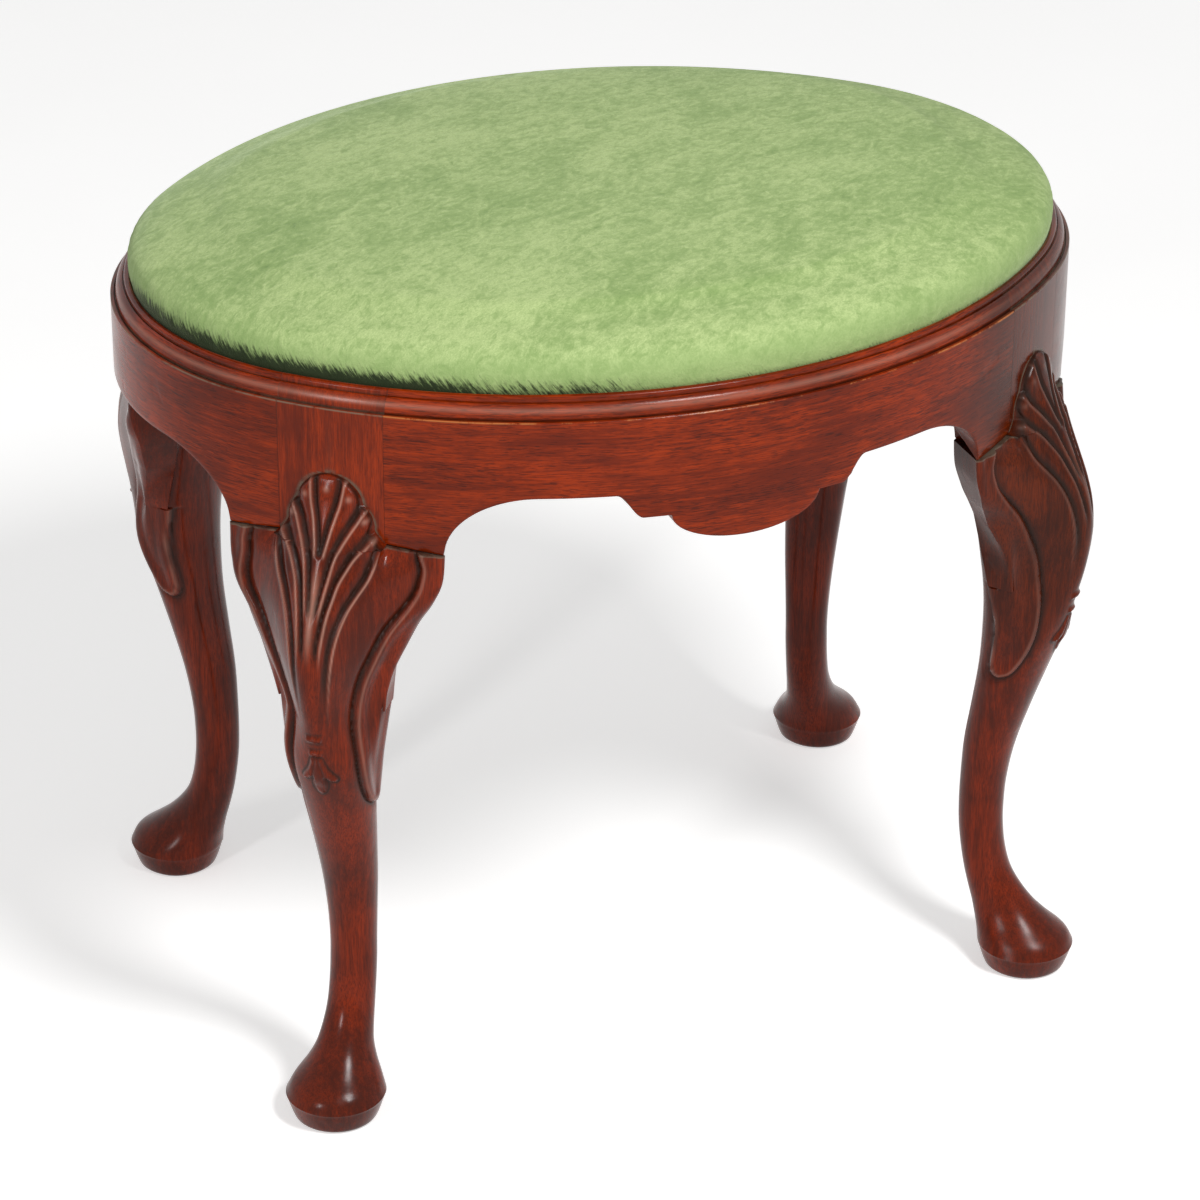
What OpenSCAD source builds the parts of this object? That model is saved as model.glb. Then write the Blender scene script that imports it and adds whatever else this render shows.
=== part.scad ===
// Oval vanity bench with a drop-in seat: four cabriole legs with carved knees and pad feet,
// four bowed rails doweled between the leg posts, and an upholstered slip seat that lifts out.
// Millimetres. The origin is on the floor under the middle; +X runs along the oval, -Y is the front.

/* [Oval frame] */
// Length of the oval, over the outer faces of the rails
frame_len = 560; // [540:1:600]
// Depth of the oval, over the outer faces of the rails
frame_dep = 434; // [416:1:460]
// Turn from the long axis at which the end arcs meet the side arcs, where the end rails join the legs
arc_turn = 44.2; // [42:0.1:48]
// Height of the worn edge where the flat face of the rails ends
face_top = 436; // [410:1:460]
// Thickness of the rails
rail_t = 26; // [24:0.5:32]

/* [Rim moulding] */
// Flat step from the edge of the rail in to the moulding
step_w = 2.2; // [1:0.1:3]
// Width and depth of the sharp groove at the foot of the moulding
quirk = 0.7; // [0.4:0.1:1]
// Width of the large round of the moulding
ovolo_w = 4.4; // [3:0.1:5]
// Height of the large round of the moulding
ovolo_h = 8.2; // [6:0.1:10]
// Width of the groove between the large round and the small bead
fillet_w = 0.5; // [0.3:0.1:0.8]
// Height of the small bead above the large round
bead_h = 3.4; // [2.5:0.1:4]
// Width of the small bead and its flat top
bead_w = 3.5; // [3:0.1:4.5]
// Depth of the well that the seat drops into
well_deep = 14; // [12:0.5:16]

/* [Rail outline] */
// Depth of the rails, from the worn edge to the lower edge between the arches
rail_deep = 45; // [36:1:54]
// Depth of the rails where they stand on the knee blocks and the arches start
knee_deep = 76; // [68:1:90]
// Width of one arch, from its foot on the knee block to the straight edge
arch_w = 46; // [36:1:50]
// Depth of the rail at the step on either side of the pendant
step_deep = 59; // [54:1:64]
// Depth of the rail at the lowest point of the pendant
pendant_deep = 76.5; // [68:0.5:86]
// Half the width of the round belly of the pendant
belly_half = 43; // [36:0.5:46]
// Half the width of the step beside the belly
step_half = 58; // [54:0.5:62]
// Half the width of the whole pendant
pendant_half = 73; // [70:0.5:80]

/* [Leg] */
// Width of the leg post between the rails
post_w = 60; // [56:0.5:64]
// Depth of the leg post, from the outer face inwards
post_d = 36; // [34:0.5:42]
// Distance of the most forward point of the knee below the top of the knee blocks
knee_drop = 65; // [50:1:75]
// How far the knee stands out past the rail face
knee_out = 40.5; // [34:0.5:44]
// Distance of the back of the knee behind the rail face
knee_in = 25; // [20:0.5:30]
// How far the front stands out at the top of the knee, under the shell
knee_brow = 18; // [14:0.5:22]
// Height of the thinnest point of the ankle
ankle_z = 100; // [90:1:115]
// Diameter of the ankle
ankle_d = 26.6; // [22:0.2:32]
// Distance of the ankle's centre line behind the rail face
ankle_in = 18.6; // [14:0.2:22]
// Height of the rim of the pad foot
pad_z = 15; // [12:0.5:20]
// Diameter of the pad foot at its rim
pad_d = 57; // [50:0.5:64]
// How far the middle of the foot stands out past the rail face
foot_out = 14; // [8:0.5:20]
// Diameter of the disc under the pad, where it meets the pad
disc_d = 49; // [44:0.5:50]
// Diameter of the disc where it meets the floor
disc_foot_d = 41; // [36:0.5:44]
// Height of the disc under the pad
disc_h = 7; // [4:0.5:9]

/* [Knee blocks and shell] */
// Half the width of the knee over both blocks, at their top
brow_half = 62; // [56:0.5:66]
// Height of the knee blocks
block_h = 98; // [88:1:110]
// How far the top of a knee block falls from the post to its outer end
block_fall = 4; // [2:0.5:6]
// How far the top corner of a knee block stands proud of the rail
block_proud = 1.8; // [1:0.1:3]
// How far the carved shell rises above the knee blocks
shell_rise = 37; // [28:1:45]
// How far the edge of the shell stands proud of the post
shell_proud = 3.2; // [2:0.1:5]

/* [Joints and corner blocks] */
// Diameter of the dowels
dowel_d = 10; // [8:0.5:11]
// Length of the dowels
dowel_len = 44; // [36:1:48]
// How much of each dowel lies in the rail
dowel_in_rail = 20; // [16:1:24]
// Distance of the dowels behind the rail face
dowel_back = 15; // [13:0.5:17]
// Distance of the lower dowel of each joint below the worn edge
dowel_low = 58; // [52:1:62]
// Distance of the upper dowel of each joint below the worn edge
dowel_high = 22; // [16:1:30]
// How far a corner block reaches past its screws
corner_end = 18; // [12:1:24]
// Distance of the back of a corner block behind the rail face
corner_back = 62; // [56:1:70]
// Height of a corner block
corner_h = 30; // [24:1:32]
// Distance of the underside of the corner blocks below the worn edge
corner_low = 38; // [34:1:42]
// How far the screws lie past the ends of the dowels
screw_past = 4; // [3:0.5:8]
// Diameter of the corner block screws
screw_d = 4.2; // [3.5:0.1:5]
// Length of the corner block screws
screw_len = 30; // [26:1:34]
// Diameter of the screw heads
screw_head_d = 8.4; // [7:0.1:9.5]

/* [Slip seat] */
// How far the cushion rises above the rim
crown_h = 40.4; // [28:0.2:50]
// Thickness of the seat board
board_t = 12; // [9:0.5:15]
// Thickness of the velvet cover
cover_t = 1.6; // [1:0.1:2.5]
// How far the cover is turned under the board
cover_turn = 28; // [20:1:36]
// How far the cushion swells out over the rim
cushion_swell = 2.4; // [0.5:0.1:4]
// Thickness of the dust cover
dust_t = 0.6; // [0.4:0.1:1]
// How far the dust cover laps over the turned edge of the velvet
dust_lap = 4; // [3:0.5:5]
// Number of staples round the dust cover
staple_count = 24; // [16:2:36]
// Length of a staple's crown
staple_w = 10; // [8:0.5:12]
// Diameter of the staple wire
staple_d = 0.9; // [0.6:0.1:1.2]
// Length of a staple's legs
staple_len = 8; // [6:0.5:10]

/* [Hidden] */
// Clearance of a glued joint
joint_gap = 0.1;
// Clearance round the slip seat in its well
seat_gap = 1;
// Clearance between the slip seat and the ledge that it rests on
rest_gap = 0.3;
// Clearance round a dowel, a screw or a staple in its hole
hole_gap = 0.1;
// How far a cut runs past the surface that it opens
over = 1;
// Spare depth at the blind end of a hole
hole_end = 1;
// Chamfer on the inner edge of the rim
rim_edge = 0.5;
// Wall left between the corner blocks and the posts
corner_gap = 0.2;
// Depth of the slot in a screw head
slot_deep = 1;
// Width of the slot in a screw head
slot_w = 1.2;
// Chord that the corner blocks follow the rail with
corner_step = 9;

half_len = frame_len / 2;
half_dep = frame_dep / 2;
end_c = (half_len - half_dep) / (1 + tan(arc_turn) - 1 / cos(arc_turn));
end_r = half_len - end_c;
side_c = end_c * tan(arc_turn);
side_r = half_dep + side_c;
post_half = post_w / 2;
screw_out = post_half + dowel_in_rail + screw_past;
corner_half = screw_out + corner_end;
turn_in = asin(post_half / side_r);
leg_turn = arc_turn + turn_in;
post_mid = [side_r * cos(leg_turn), side_r * sin(leg_turn) - side_c];
end_mid = [(side_r - end_r) * cos(turn_in) - side_r, -(side_r - end_r) * sin(turn_in)];
rail_low = face_top - rail_deep;
knee_top = face_top - knee_deep;
pendant_step = face_top - step_deep;
pendant_low = face_top - pendant_deep;
knee_z = knee_top - knee_drop;
block_tip_z = knee_top - block_h;
arch_foot = knee_top - block_fall;
shell_top = knee_top + shell_rise;
dowel_low_z = face_top - dowel_low;
dowel_high_z = face_top - dowel_high;
corner_z = face_top - corner_low;
rim_w = step_w + quirk + ovolo_w + fillet_w + bead_w;
rim_top = face_top + ovolo_h + bead_h;
ledge_z = rim_top - well_deep;

seat_top = rim_top + crown_h;
seat_low = ledge_z + rest_gap;
board_z = seat_low + cover_t;
board_top = board_z + board_t;
cover_edge = -rim_w - seat_gap;
board_edge = cover_edge - cover_t;
swell_z = rim_top + 5 * cushion_swell / 2;
dust_edge = board_edge - cover_turn + dust_lap;
staple_edge = board_edge - cover_turn - staple_w / 2;

// Number of points round the cushion
cushion_sides = 48;
// Points across the front, round each back corner and in all round a leg
front_steps = 12;
back_steps = 10;
leg_sides = front_steps + back_steps + 3;
// Rings that each span of the leg's table is divided into
leg_steps = 2;

// Foot to ankle: height, front line, back line and half width, as shares of the way up
foot_shares = [
    [0, 0, 0, 0], [0.08, 0.075, 0.08, 0.22], [0.175, 0.29, 0.22, 0.58], [0.27, 0.5, 0.36, 0.82],
    [0.38, 0.69, 0.53, 0.93], [0.51, 0.85, 0.7, 0.985], [0.67, 0.945, 0.85, 1], [0.84, 0.99, 0.96, 1]
];
// Ankle to knee: height, front line, back line and half width, as shares of the way up
calf_shares = [
    [0, 0, 0, 0], [0.1, 0.02, 0.04, 0.05], [0.23, 0.115, 0.25, 0.155], [0.37, 0.29, 0.8, 0.28],
    [0.51, 0.49, 1.3, 0.43], [0.64, 0.68, 1.5, 0.66], [0.77, 0.83, 1.55, 0.88], [0.88, 0.94, 1.4, 1]
];
// Knee to post: height, front line, back line and half width, as shares of the way up
knee_shares = [
    [0, 0, 0, 1], [0.23, 0.07, 0.28, 1], [0.46, 0.27, 0.6, 1], [0.69, 0.57, 0.86, 1],
    [0.85, 0.8, 0.97, 1], [1, 1, 1, 1]
];
// Knee block, tip to top: height, width past the post under a long rail and under an end rail,
// stand proud of the rail, back
block_shares = [
    [0, 0.03, 0.03, 1, 0.3], [0.12, 0.07, 0.17, 0.98, 0.4], [0.26, 0.18, 0.36, 0.97, 0.52],
    [0.39, 0.34, 0.54, 0.95, 0.64], [0.54, 0.54, 0.72, 0.85, 0.78], [0.68, 0.79, 0.89, 0.55, 0.9],
    [0.82, 0.96, 0.98, 0.2, 0.98], [1, 1, 1, 0, 1]
];
// How far the lower part of a knee block stands out past the rail face
block_out = 7.5;
// Shell, knee top to shell top: height and half width
shell_shares = [
    [0.1, 0.99], [0.22, 0.95], [0.36, 0.89], [0.5, 0.81],
    [0.65, 0.7], [0.79, 0.56], [0.9, 0.4], [1, 0.2]
];
// Cushion, from its swollen edge to its crown: distance from the middle
crown_shares = [1, 0.992, 0.975, 0.945, 0.9, 0.83, 0.74, 0.6, 0.4, 0.2];
// The same for the inside of the cover and the foam under it
foam_shares = [1, 0.985, 0.945, 0.85, 0.65, 0.35];
// How square the shoulder of the cushion is, along and up
crown_power = 2.7;
shoulder_power = 3;

function mix(a, b, k) = a + (b - a) * k;
function sign_of(v) = v < 0 ? -1 : 1;
function arc(cx, cy, rx, ry, a0, a1, n) =
    [for (i = [0:n]) let (a = mix(a0, a1, i / n)) [cx + rx * cos(a), cy + ry * sin(a)]];
function wave(x0, y0, x1, y1, n) =
    [for (i = [0:n]) [mix(x0, x1, i / n), mix(y0, y1, (1 - cos(180 * i / n)) / 2)]];
function flip(points) = [for (i = [len(points) - 1:-1:0]) [-points[i][0], points[i][1]]];

// Point of the oval whose outward direction is turned by a, moved out by off
function oval(a, off) =
    let (c = cos(a), s = sin(a))
    abs(s) < abs(c) * tan(arc_turn)
        ? [sign_of(c) * end_c + (end_r + off) * c, (end_r + off) * s]
        : [(side_r + off) * c, (side_r + off) * s - sign_of(s) * side_c];

// In a leg's own frame X points out of the frame and Y runs along the rails, + towards the long
// side. face(t, off) is where the outer face of the oval, moved out by off, lies at distance t
// from the leg's middle.
function face(t, off = 0) =
    t > -(side_r + off) * sin(turn_in)
        ? sqrt(pow(side_r + off, 2) - t * t) - side_r
        : end_mid[0] + sqrt(pow(end_r + off, 2) - pow(t - end_mid[1], 2));

// The same place seen from the middle of the bench
function from_leg(s, t) = [
    post_mid[0] + s * cos(leg_turn) - t * sin(leg_turn),
    post_mid[1] + s * sin(leg_turn) + t * cos(leg_turn)
];

// Value of column c at height h in a table, on a smooth curve through its rows
function at(rows, h, c) =
    let (
        last = len(rows) - 1,
        i = max([for (k = [0:last - 1]) rows[k][0] <= h ? k : 0]),
        a = rows[max(i - 1, 0)], b = rows[i], d = rows[i + 1], e = rows[min(i + 2, last)],
        span = d[0] - b[0],
        u = (h - b[0]) / span,
        m0 = (d[c] - a[c]) / (d[0] - a[0]) * span,
        m1 = (e[c] - b[c]) / (e[0] - b[0]) * span
    )
    (2 * u * u * u - 3 * u * u + 1) * b[c] + (u * u * u - 2 * u * u + u) * m0
        + (3 * u * u - 2 * u * u * u) * d[c] + (u * u * u - u * u) * m1;

function span_rows(shares, low, high) =
    [for (r = shares) [for (c = [0:3]) mix(low[c], high[c], r[c])]];

// Leg table: height, front line, back line and half width
pad_row = [pad_z, foot_out + pad_d / 2, foot_out - pad_d / 2, pad_d / 2];
ankle_row = [ankle_z, ankle_d / 2 - ankle_in, -ankle_d / 2 - ankle_in, ankle_d / 2];
knee_row = [knee_z, knee_out, -knee_in, post_half - joint_gap];
brow_row = [knee_top, knee_brow, joint_gap - post_d, post_half - joint_gap];
leg_rows = concat(
    span_rows(foot_shares, pad_row, ankle_row),
    span_rows(calf_shares, ankle_row, knee_row),
    span_rows(knee_shares, knee_row, brow_row)
);
leg_heights = concat(
    [for (k = [0:len(leg_rows) - 2], j = [0:leg_steps - 1])
        mix(leg_rows[k][0], leg_rows[k + 1][0], j / leg_steps)],
    [knee_top]
);

// Knee block table: height, half width on either side, stand out past the rail face, distance of
// the back
block_rows = [for (r = block_shares) [
    mix(block_tip_z, knee_top, r[0]),
    mix(post_half, brow_half, r[1]),
    mix(post_half, brow_half, r[2]),
    mix(block_proud, block_out, r[3]),
    rail_t * r[4]
]];
function on_block(h, c) = at(block_rows, min(max(h, block_tip_z), knee_top), c);
function knee_half(h, side) = on_block(h, side > 0 ? 1 : 2);
function knee_edge(h, side) = face(side * knee_half(h, side)) + on_block(h, 3);

// Front of the knee at height h and distance t: a bell from the knee's crest to the blocks' edge
function knee_front(h, t) =
    let (side = sign_of(t), half = knee_half(h, side), edge = knee_edge(h, side))
    edge + (at(leg_rows, h, 1) - edge) * (1 + cos(180 * min(abs(t) / half, 1))) / 2;

// Front of the leg: round below the knee, changing into the bell
function leg_front(h, t, half) =
    let (
        front = at(leg_rows, h, 1), back = at(leg_rows, h, 2), middle = (front + back) / 2,
        round = middle + (front - middle) * sqrt(max(1 - t * t / half / half, 0)),
        k = min(max((h - mix(ankle_z, knee_z, 0.62)) / (knee_z - ankle_z) / 0.26, 0), 1)
    )
    mix(round, knee_front(h, t), k * k * (3 - 2 * k));

// How square the back of the leg is: 0 round, 1 square
function leg_square(h) =
    let (k = min(max((h - mix(ankle_z, knee_z, 0.6)) / (knee_top - ankle_z) / 0.5, 0), 1))
    k * k * (3 - 2 * k);

function leg_ring(h) =
    let (
        half = at(leg_rows, h, 3), back = at(leg_rows, h, 2),
        square = leg_square(h),
        side = [for (d = [-1, 1]) leg_front(h, d * half, half)],
        flat = mix(0.04, 0.7, square),
        power = mix(1, 0.6, square)
    )
    concat(
        [for (i = [0:front_steps]) let (t = -half * cos(180 * i / front_steps))
            [leg_front(h, t, half), t, h]],
        [for (i = [0:back_steps + 1])
            let (
                a = 180 * min(max(i - 0.5, 0), back_steps) / back_steps,
                d = cos(a) < 0 ? 0 : 1,
                hip = mix(side[d], back, flat)
            )
            i == 0 ? [mix(side[1], back, flat), half, h]
                : i == back_steps + 1 ? [mix(side[0], back, flat), -half, h]
                : [
                    mix(hip, back, pow(sin(a), power)),
                    half * sign_of(cos(a)) * pow(abs(cos(a)), power),
                    h
                ]]
    );

// Closed skin over a list of rings of points, each ring with the same number of points
module skin(rings) {
    n = len(rings[0]);
    last = (len(rings) - 1) * n;
    polyhedron(
        points = [for (r = rings, p = r) p],
        faces = concat(
            [[for (i = [0:n - 1]) i]],
            [for (k = [0:n:last - n], i = [0:n - 1]) let (j = (i + 1) % n) [k + i, k + n + j, k + j]],
            [for (k = [0:n:last - n], i = [0:n - 1]) let (j = (i + 1) % n) [k + i, k + n + i, k + n + j]],
            [[for (i = [n - 1:-1:0]) last + i]]
        )
    );
}

module at_leg(sx, sy) {
    mirror([sx < 0 ? 1 : 0, 0, 0]) mirror([0, sy < 0 ? 1 : 0, 0])
        translate([post_mid[0], post_mid[1], 0]) rotate([0, 0, leg_turn]) children();
}

// Section of the rim, the seat well and the rail, thick in all, with its outer face at radius r
function rim_section(r, low, thick) =
    let (
        foot = r - step_w,
        round = foot - quirk,
        groove = round - ovolo_w,
        bead = groove - fillet_w,
        lip = r - rim_w,
        top = face_top + ovolo_h
    )
    concat(
        [[r - thick, low], [r, low], [r, face_top], [foot, face_top], [foot, face_top - quirk],
            [round, face_top - quirk]],
        arc(groove, face_top + quirk, ovolo_w, ovolo_h - quirk, 0, 90, 8),
        [[groove, top - quirk], [bead, top - quirk]],
        arc(bead - bead_h / 2, top + bead_h / 2, bead_h / 2, bead_h / 2, 0, 90, 6),
        [[lip + rim_edge, rim_top], [lip, rim_top - rim_edge], [lip, ledge_z], [r - thick, ledge_z]]
    );

// The post of a leg, with the rim worked on it
module post() {
    reach = 2 * turn_in;
    intersection() {
        translate([-side_r, 0, 0]) rotate([0, 0, -reach])
            rotate_extrude(angle = 2 * reach, $fn = 360)
                polygon(rim_section(side_r, knee_top, 2 * post_d));
        translate([-post_d, -post_half, 0]) cube([2 * post_d, post_w, 2 * rim_top]);
    }
}

module dowels_at(gap, longer) {
    for (side = [-1, 1], z = [dowel_low_z, dowel_high_z])
        translate([-dowel_back, side * (post_half + dowel_in_rail + longer), z])
            rotate([side * 90, 0, 0])
                cylinder(d = dowel_d + 2 * gap, h = dowel_len + 2 * longer, $fn = 48);
}

module dowels() {
    color("#d8b98a") dowels_at(0, 0);
}

// Ring of the disc under the pad, or of the pad's underside: [height, diameter]
function foot_ring(row) =
    [for (q = leg_ring(pad_z)) let (k = row[1] / pad_d) [mix(foot_out, q[0], k), q[1] * k, row[0]]];

// Ring of the carved shell, a raised fan whose back lies inside the post, at a share of its height
// and with a share of its width
function shell_ring(row) =
    let (
        half = (post_half - over) * row[1],
        crest = mix(knee_brow, 2 * shell_proud, pow(row[0], 0.6)),
        h = mix(knee_top, shell_top, row[0])
    )
    concat(
        [for (i = [0:front_steps])
            let (t = -half * cos(180 * i / front_steps), edge = face(t) + shell_proud)
            [mix(edge, crest, (1 + cos(180 * t / half)) / 2), t, h]],
        [for (i = [0:back_steps + 1]) let (a = 180 * i / (back_steps + 1))
            [-(rail_t + half * sin(a)) / 2, half * cos(a), h]]
    );

module leg() {
    color("#6b2413") difference() {
        union() {
            post();
            skin(concat(
                [foot_ring([0, disc_foot_d]), foot_ring([disc_h, disc_d])],
                [foot_ring([mix(disc_h, pad_z, 0.5), mix(disc_d, pad_d, 0.8)])],
                [for (h = leg_heights) leg_ring(h)],
                [for (row = shell_shares) shell_ring(row)]
            ));
        }
        dowels_at(hole_gap, hole_end);
    }
}

// Where the outer side of a knee block ends at the back: it is sawn in line with the rail's arch,
// from start, but always leaves some width beside the post
function sawn_back(side, half, start, depth, tries = 4) =
    let (
        slope = side > 0 ? 1 / tan(leg_turn) : tan(leg_turn),
        t = tries == 0 ? half : sawn_back(side, half, start, depth, tries - 1),
        inner = post_half + joint_gap
    )
    max(half - slope * (start - face(side * t, -depth)), inner + min((half - inner) / 4, 1));

// Place of the rail's face at distance t from a leg's middle, along the axis that the rail spans
function along_rail(side, t) = from_leg(face(side * t), side * t)[side > 0 ? 0 : 1];

// How far the top of a knee block lies below the top of the knee at a point of the leg's frame
function fall(side, s, t) =
    let (start = along_rail(side, post_half), end = along_rail(side, brow_half))
    block_fall * (start - from_leg(s, t)[side > 0 ? 0 : 1]) / (start - end);

// Knee block on the side of the post: side 1 under the long rail, -1 under the end rail
module knee_block(side) {
    corner = 3;
    rings = [for (k = [0:len(block_rows) - 1])
        let (
            r = block_rows[k], h = r[0], half = knee_half(h, side),
            inner = post_half + joint_gap,
            round = min(corner, (half - inner) / 2),
            start = knee_front(h, side * half) - round,
            back = sawn_back(side, half, start, r[4]),
            outline = concat(
                [for (i = [0:4]) let (t = mix(inner, half - round, i / 4)) [knee_front(h, side * t), t]],
                [[knee_front(h, side * half) - round / 3, half - round / 3], [start, half]],
                [for (i = [0:3]) let (t = mix(back, inner, i / 3)) [face(side * t, -r[4]), t]]
            )
        )
        [for (p = outline) [p[0], side * p[1],
            h - (joint_gap + fall(side, p[0], side * p[1])) * block_shares[k][0]]]];
    color("#6b2413") skin(side > 0 ? rings : [for (r = rings) [for (i = [len(r) - 1:-1:0]) r[i]]]);
}

module corner_block() {
    n = ceil(2 * corner_half / corner_step);
    front = [for (i = [0:n]) let (t = mix(-corner_half, corner_half, i / n))
        [face(t, -rail_t - corner_gap), t]];
    color("#8a5a34") difference() {
        translate([0, 0, corner_z]) linear_extrude(corner_h) polygon(concat(
            front,
            [[-corner_back, post_half], [-corner_back, -post_half]]
        ));
        translate([-post_d - corner_gap, -post_half - corner_gap, corner_z - over])
            cube([post_d + over, post_w + 2 * corner_gap, corner_h + 2 * over]);
        corner_screws_at() screw_hole();
    }
}

// A screw starts where the sloping back of the corner block is, and runs out towards the rail
screw_start = -mix(corner_back, rail_t, (screw_out - post_half) / (corner_half - post_half));
screw_cone = (screw_head_d - screw_d) / 2;

module corner_screws_at() {
    for (side = [-1, 1])
        translate([screw_start + screw_head_d / 2, side * screw_out, corner_z + corner_h / 2])
            rotate([0, 90, 0]) children();
}

module screw_hole() {
    r = screw_d / 2 + hole_gap;
    rotate_extrude($fn = 48) polygon([
        [0, -screw_head_d - over], [screw_head_d / 2 + hole_gap, -screw_head_d - over],
        [screw_head_d / 2 + hole_gap, 0], [r, screw_cone],
        [r, screw_len + hole_end], [0, screw_len + hole_end]
    ]);
}

module corner_block_screw() {
    color("#b9a46a") difference() {
        rotate_extrude($fn = 48) polygon([
            [0, 0], [screw_head_d / 2, 0], [screw_d / 2, screw_cone],
            [screw_d / 2, screw_len - screw_d], [0, screw_len]
        ]);
        translate([-slot_w / 2, -screw_head_d, -over]) cube([slot_w, 2 * screw_head_d, slot_deep + over]);
    }
}

function arch(foot) = arc(foot - arch_w, arch_foot, arch_w, rail_low - arch_foot, 0, 90, 12);

// Lower edge of a long rail, with its pendant, on one side of the middle
function side_edge(foot) = concat(
    arch(foot),
    wave(pendant_half, rail_low, step_half, pendant_step, 8),
    arc(0, pendant_step, belly_half, pendant_step - pendant_low, 0, -84, 12)
);

// Area that a rail keeps, seen square to it: everything above its lower edge. Between the post and
// the foot of the arch it lies on the sloping top of the knee block.
function kept(edge, post_at, reach) = concat(
    [[reach, rim_top + over], [reach, knee_top], [post_at, knee_top]],
    edge,
    flip(edge),
    [[-post_at, knee_top], [-reach, knee_top], [-reach, rim_top + over]]
);

module rail_holes() {
    for (sx = [-1, 1], sy = [-1, 1]) at_leg(sx, sy) {
        translate([-2 * post_w, -post_half - joint_gap, 0])
            cube([4 * post_w, post_w + 2 * joint_gap, 2 * rim_top]);
        dowels_at(hole_gap, hole_end);
        corner_screws_at() screw_hole();
    }
}

module side_rail() {
    foot = along_rail(1, brow_half);
    post_at = along_rail(1, post_half);
    color("#8f3318") difference() {
        intersection() {
            translate([0, -side_c, 0]) rotate([0, 0, leg_turn])
                rotate_extrude(angle = 180 - 2 * leg_turn, $fn = 360)
                    polygon(rim_section(side_r, pendant_low - over, rail_t));
            translate([0, half_dep + over, 0]) rotate([90, 0, 0])
                linear_extrude(half_dep) polygon(kept(side_edge(foot), post_at, half_len));
        }
        rail_holes();
    }
}

module end_rail() {
    foot = along_rail(-1, brow_half);
    post_at = along_rail(-1, post_half);
    color("#8f3318") difference() {
        intersection() {
            translate([end_c, 0, 0]) rotate([0, 0, -arc_turn])
                rotate_extrude(angle = 2 * arc_turn, $fn = 360)
                    polygon(rim_section(end_r, arch_foot - over, rail_t));
            translate([end_c, 0, 0]) rotate([90, 0, 90])
                linear_extrude(end_r + over) polygon(kept(arch(foot), post_at, half_dep));
        }
        rail_holes();
    }
}

// Plate in the shape of the oval, with its edge moved out by off
module oval_plate(off, h) {
    joint_x = side_r * cos(arc_turn) + off * cos(arc_turn);
    linear_extrude(h) union() {
        for (d = [-1, 1]) translate([d * end_c, 0]) circle(r = end_r + off, $fn = 360);
        intersection() {
            translate([0, side_c]) circle(r = side_r + off, $fn = 360);
            translate([0, -side_c]) circle(r = side_r + off, $fn = 360);
            translate([-joint_x, -frame_dep]) square([2 * joint_x, 2 * frame_dep]);
        }
    }
}

module seat_board() {
    color("#c9a46c") difference() {
        translate([0, 0, board_z]) oval_plate(board_edge, board_t);
        staple_legs(hole_gap, hole_end);
    }
}

// A ring of points round the cushion: moved out by off, then drawn in to a share of its size
function cushion_ring(off, share, z) =
    [for (i = [0:cushion_sides - 1]) let (p = oval(360 * i / cushion_sides, off))
        [p[0] * share, p[1] * share, z]];

// Offset of the ring whose straight sides lie just outside the oval moved out by off
function round_off(off) = (side_r + off) / cos(180 / cushion_sides) - side_r;

function crown_z(share, edge_z, top) =
    edge_z + (top - edge_z) * pow(1 - pow(share, crown_power), 1 / shoulder_power);

// Rings of the cushion from the rim up, for a skin that lies in by depth
function cushion_rings(shares, depth) = concat(
    [
        cushion_ring(cover_edge - depth, 1, rim_top),
        cushion_ring(cover_edge + cushion_swell * 0.8 - depth, 1, mix(rim_top, swell_z, 0.5))
    ],
    [for (s = shares)
        cushion_ring(cover_edge + cushion_swell - depth, s, crown_z(s, swell_z, seat_top - depth))],
    [cushion_ring(cover_edge + cushion_swell - depth, 0.02, seat_top - depth)]
);

module seat_foam() {
    rings = cushion_rings(foam_shares, cover_t + joint_gap);
    color("#e9dfb8") skin(concat(
        [cushion_ring(board_edge - joint_gap, 1, board_top + joint_gap)],
        [for (i = [1:len(rings) - 1]) rings[i]]
    ));
}

// Velvet cover: over the foam, down the edge of the board and under it
module seat_cover() {
    color("#5f8a3f") difference() {
        skin(concat(
            [cushion_ring(cover_edge - cover_t, 1, seat_low)],
            [cushion_ring(cover_edge, 1, seat_low + cover_t)],
            cushion_rings(crown_shares, 0)
        ));
        skin(concat(
            [for (z = [board_z, board_top]) cushion_ring(round_off(board_edge), 1, z)],
            cushion_rings(foam_shares, cover_t)
        ));
        translate([0, 0, seat_low - over]) oval_plate(board_edge - cover_turn, board_t);
    }
}

module dust_cover() {
    color("#1c1b1a") difference() {
        translate([0, 0, seat_low - joint_gap - dust_t]) oval_plate(dust_edge, dust_t);
        staple_legs(hole_gap, hole_end);
    }
}

module staple_legs(gap, longer) {
    for (i = [0:staple_count - 1]) {
        a = 360 * (i + 1 / 2) / staple_count;
        p = oval(a, staple_edge);
        for (d = [-1, 1])
            translate([p[0], p[1], seat_low - joint_gap - dust_t]) rotate([0, 0, a])
                translate([0, d * (staple_w - staple_d) / 2, -over])
                    cylinder(d = staple_d + 2 * gap, h = staple_len + longer + over, $fn = 24);
    }
}

module dust_cover_staples() {
    color("#a9abad") {
        intersection() {
            staple_legs(0, 0);
            translate([-frame_len, -frame_len, seat_low - joint_gap - dust_t - hole_gap])
                cube([2 * frame_len, 2 * frame_len, rim_top]);
        }
        for (i = [0:staple_count - 1]) {
            a = 360 * (i + 1 / 2) / staple_count;
            p = oval(a, staple_edge);
            translate([p[0], p[1], seat_low - joint_gap - dust_t - hole_gap - staple_d / 2]) rotate([0, 0, a])
                cube([staple_d, staple_w, staple_d], center = true);
        }
    }
}

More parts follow.
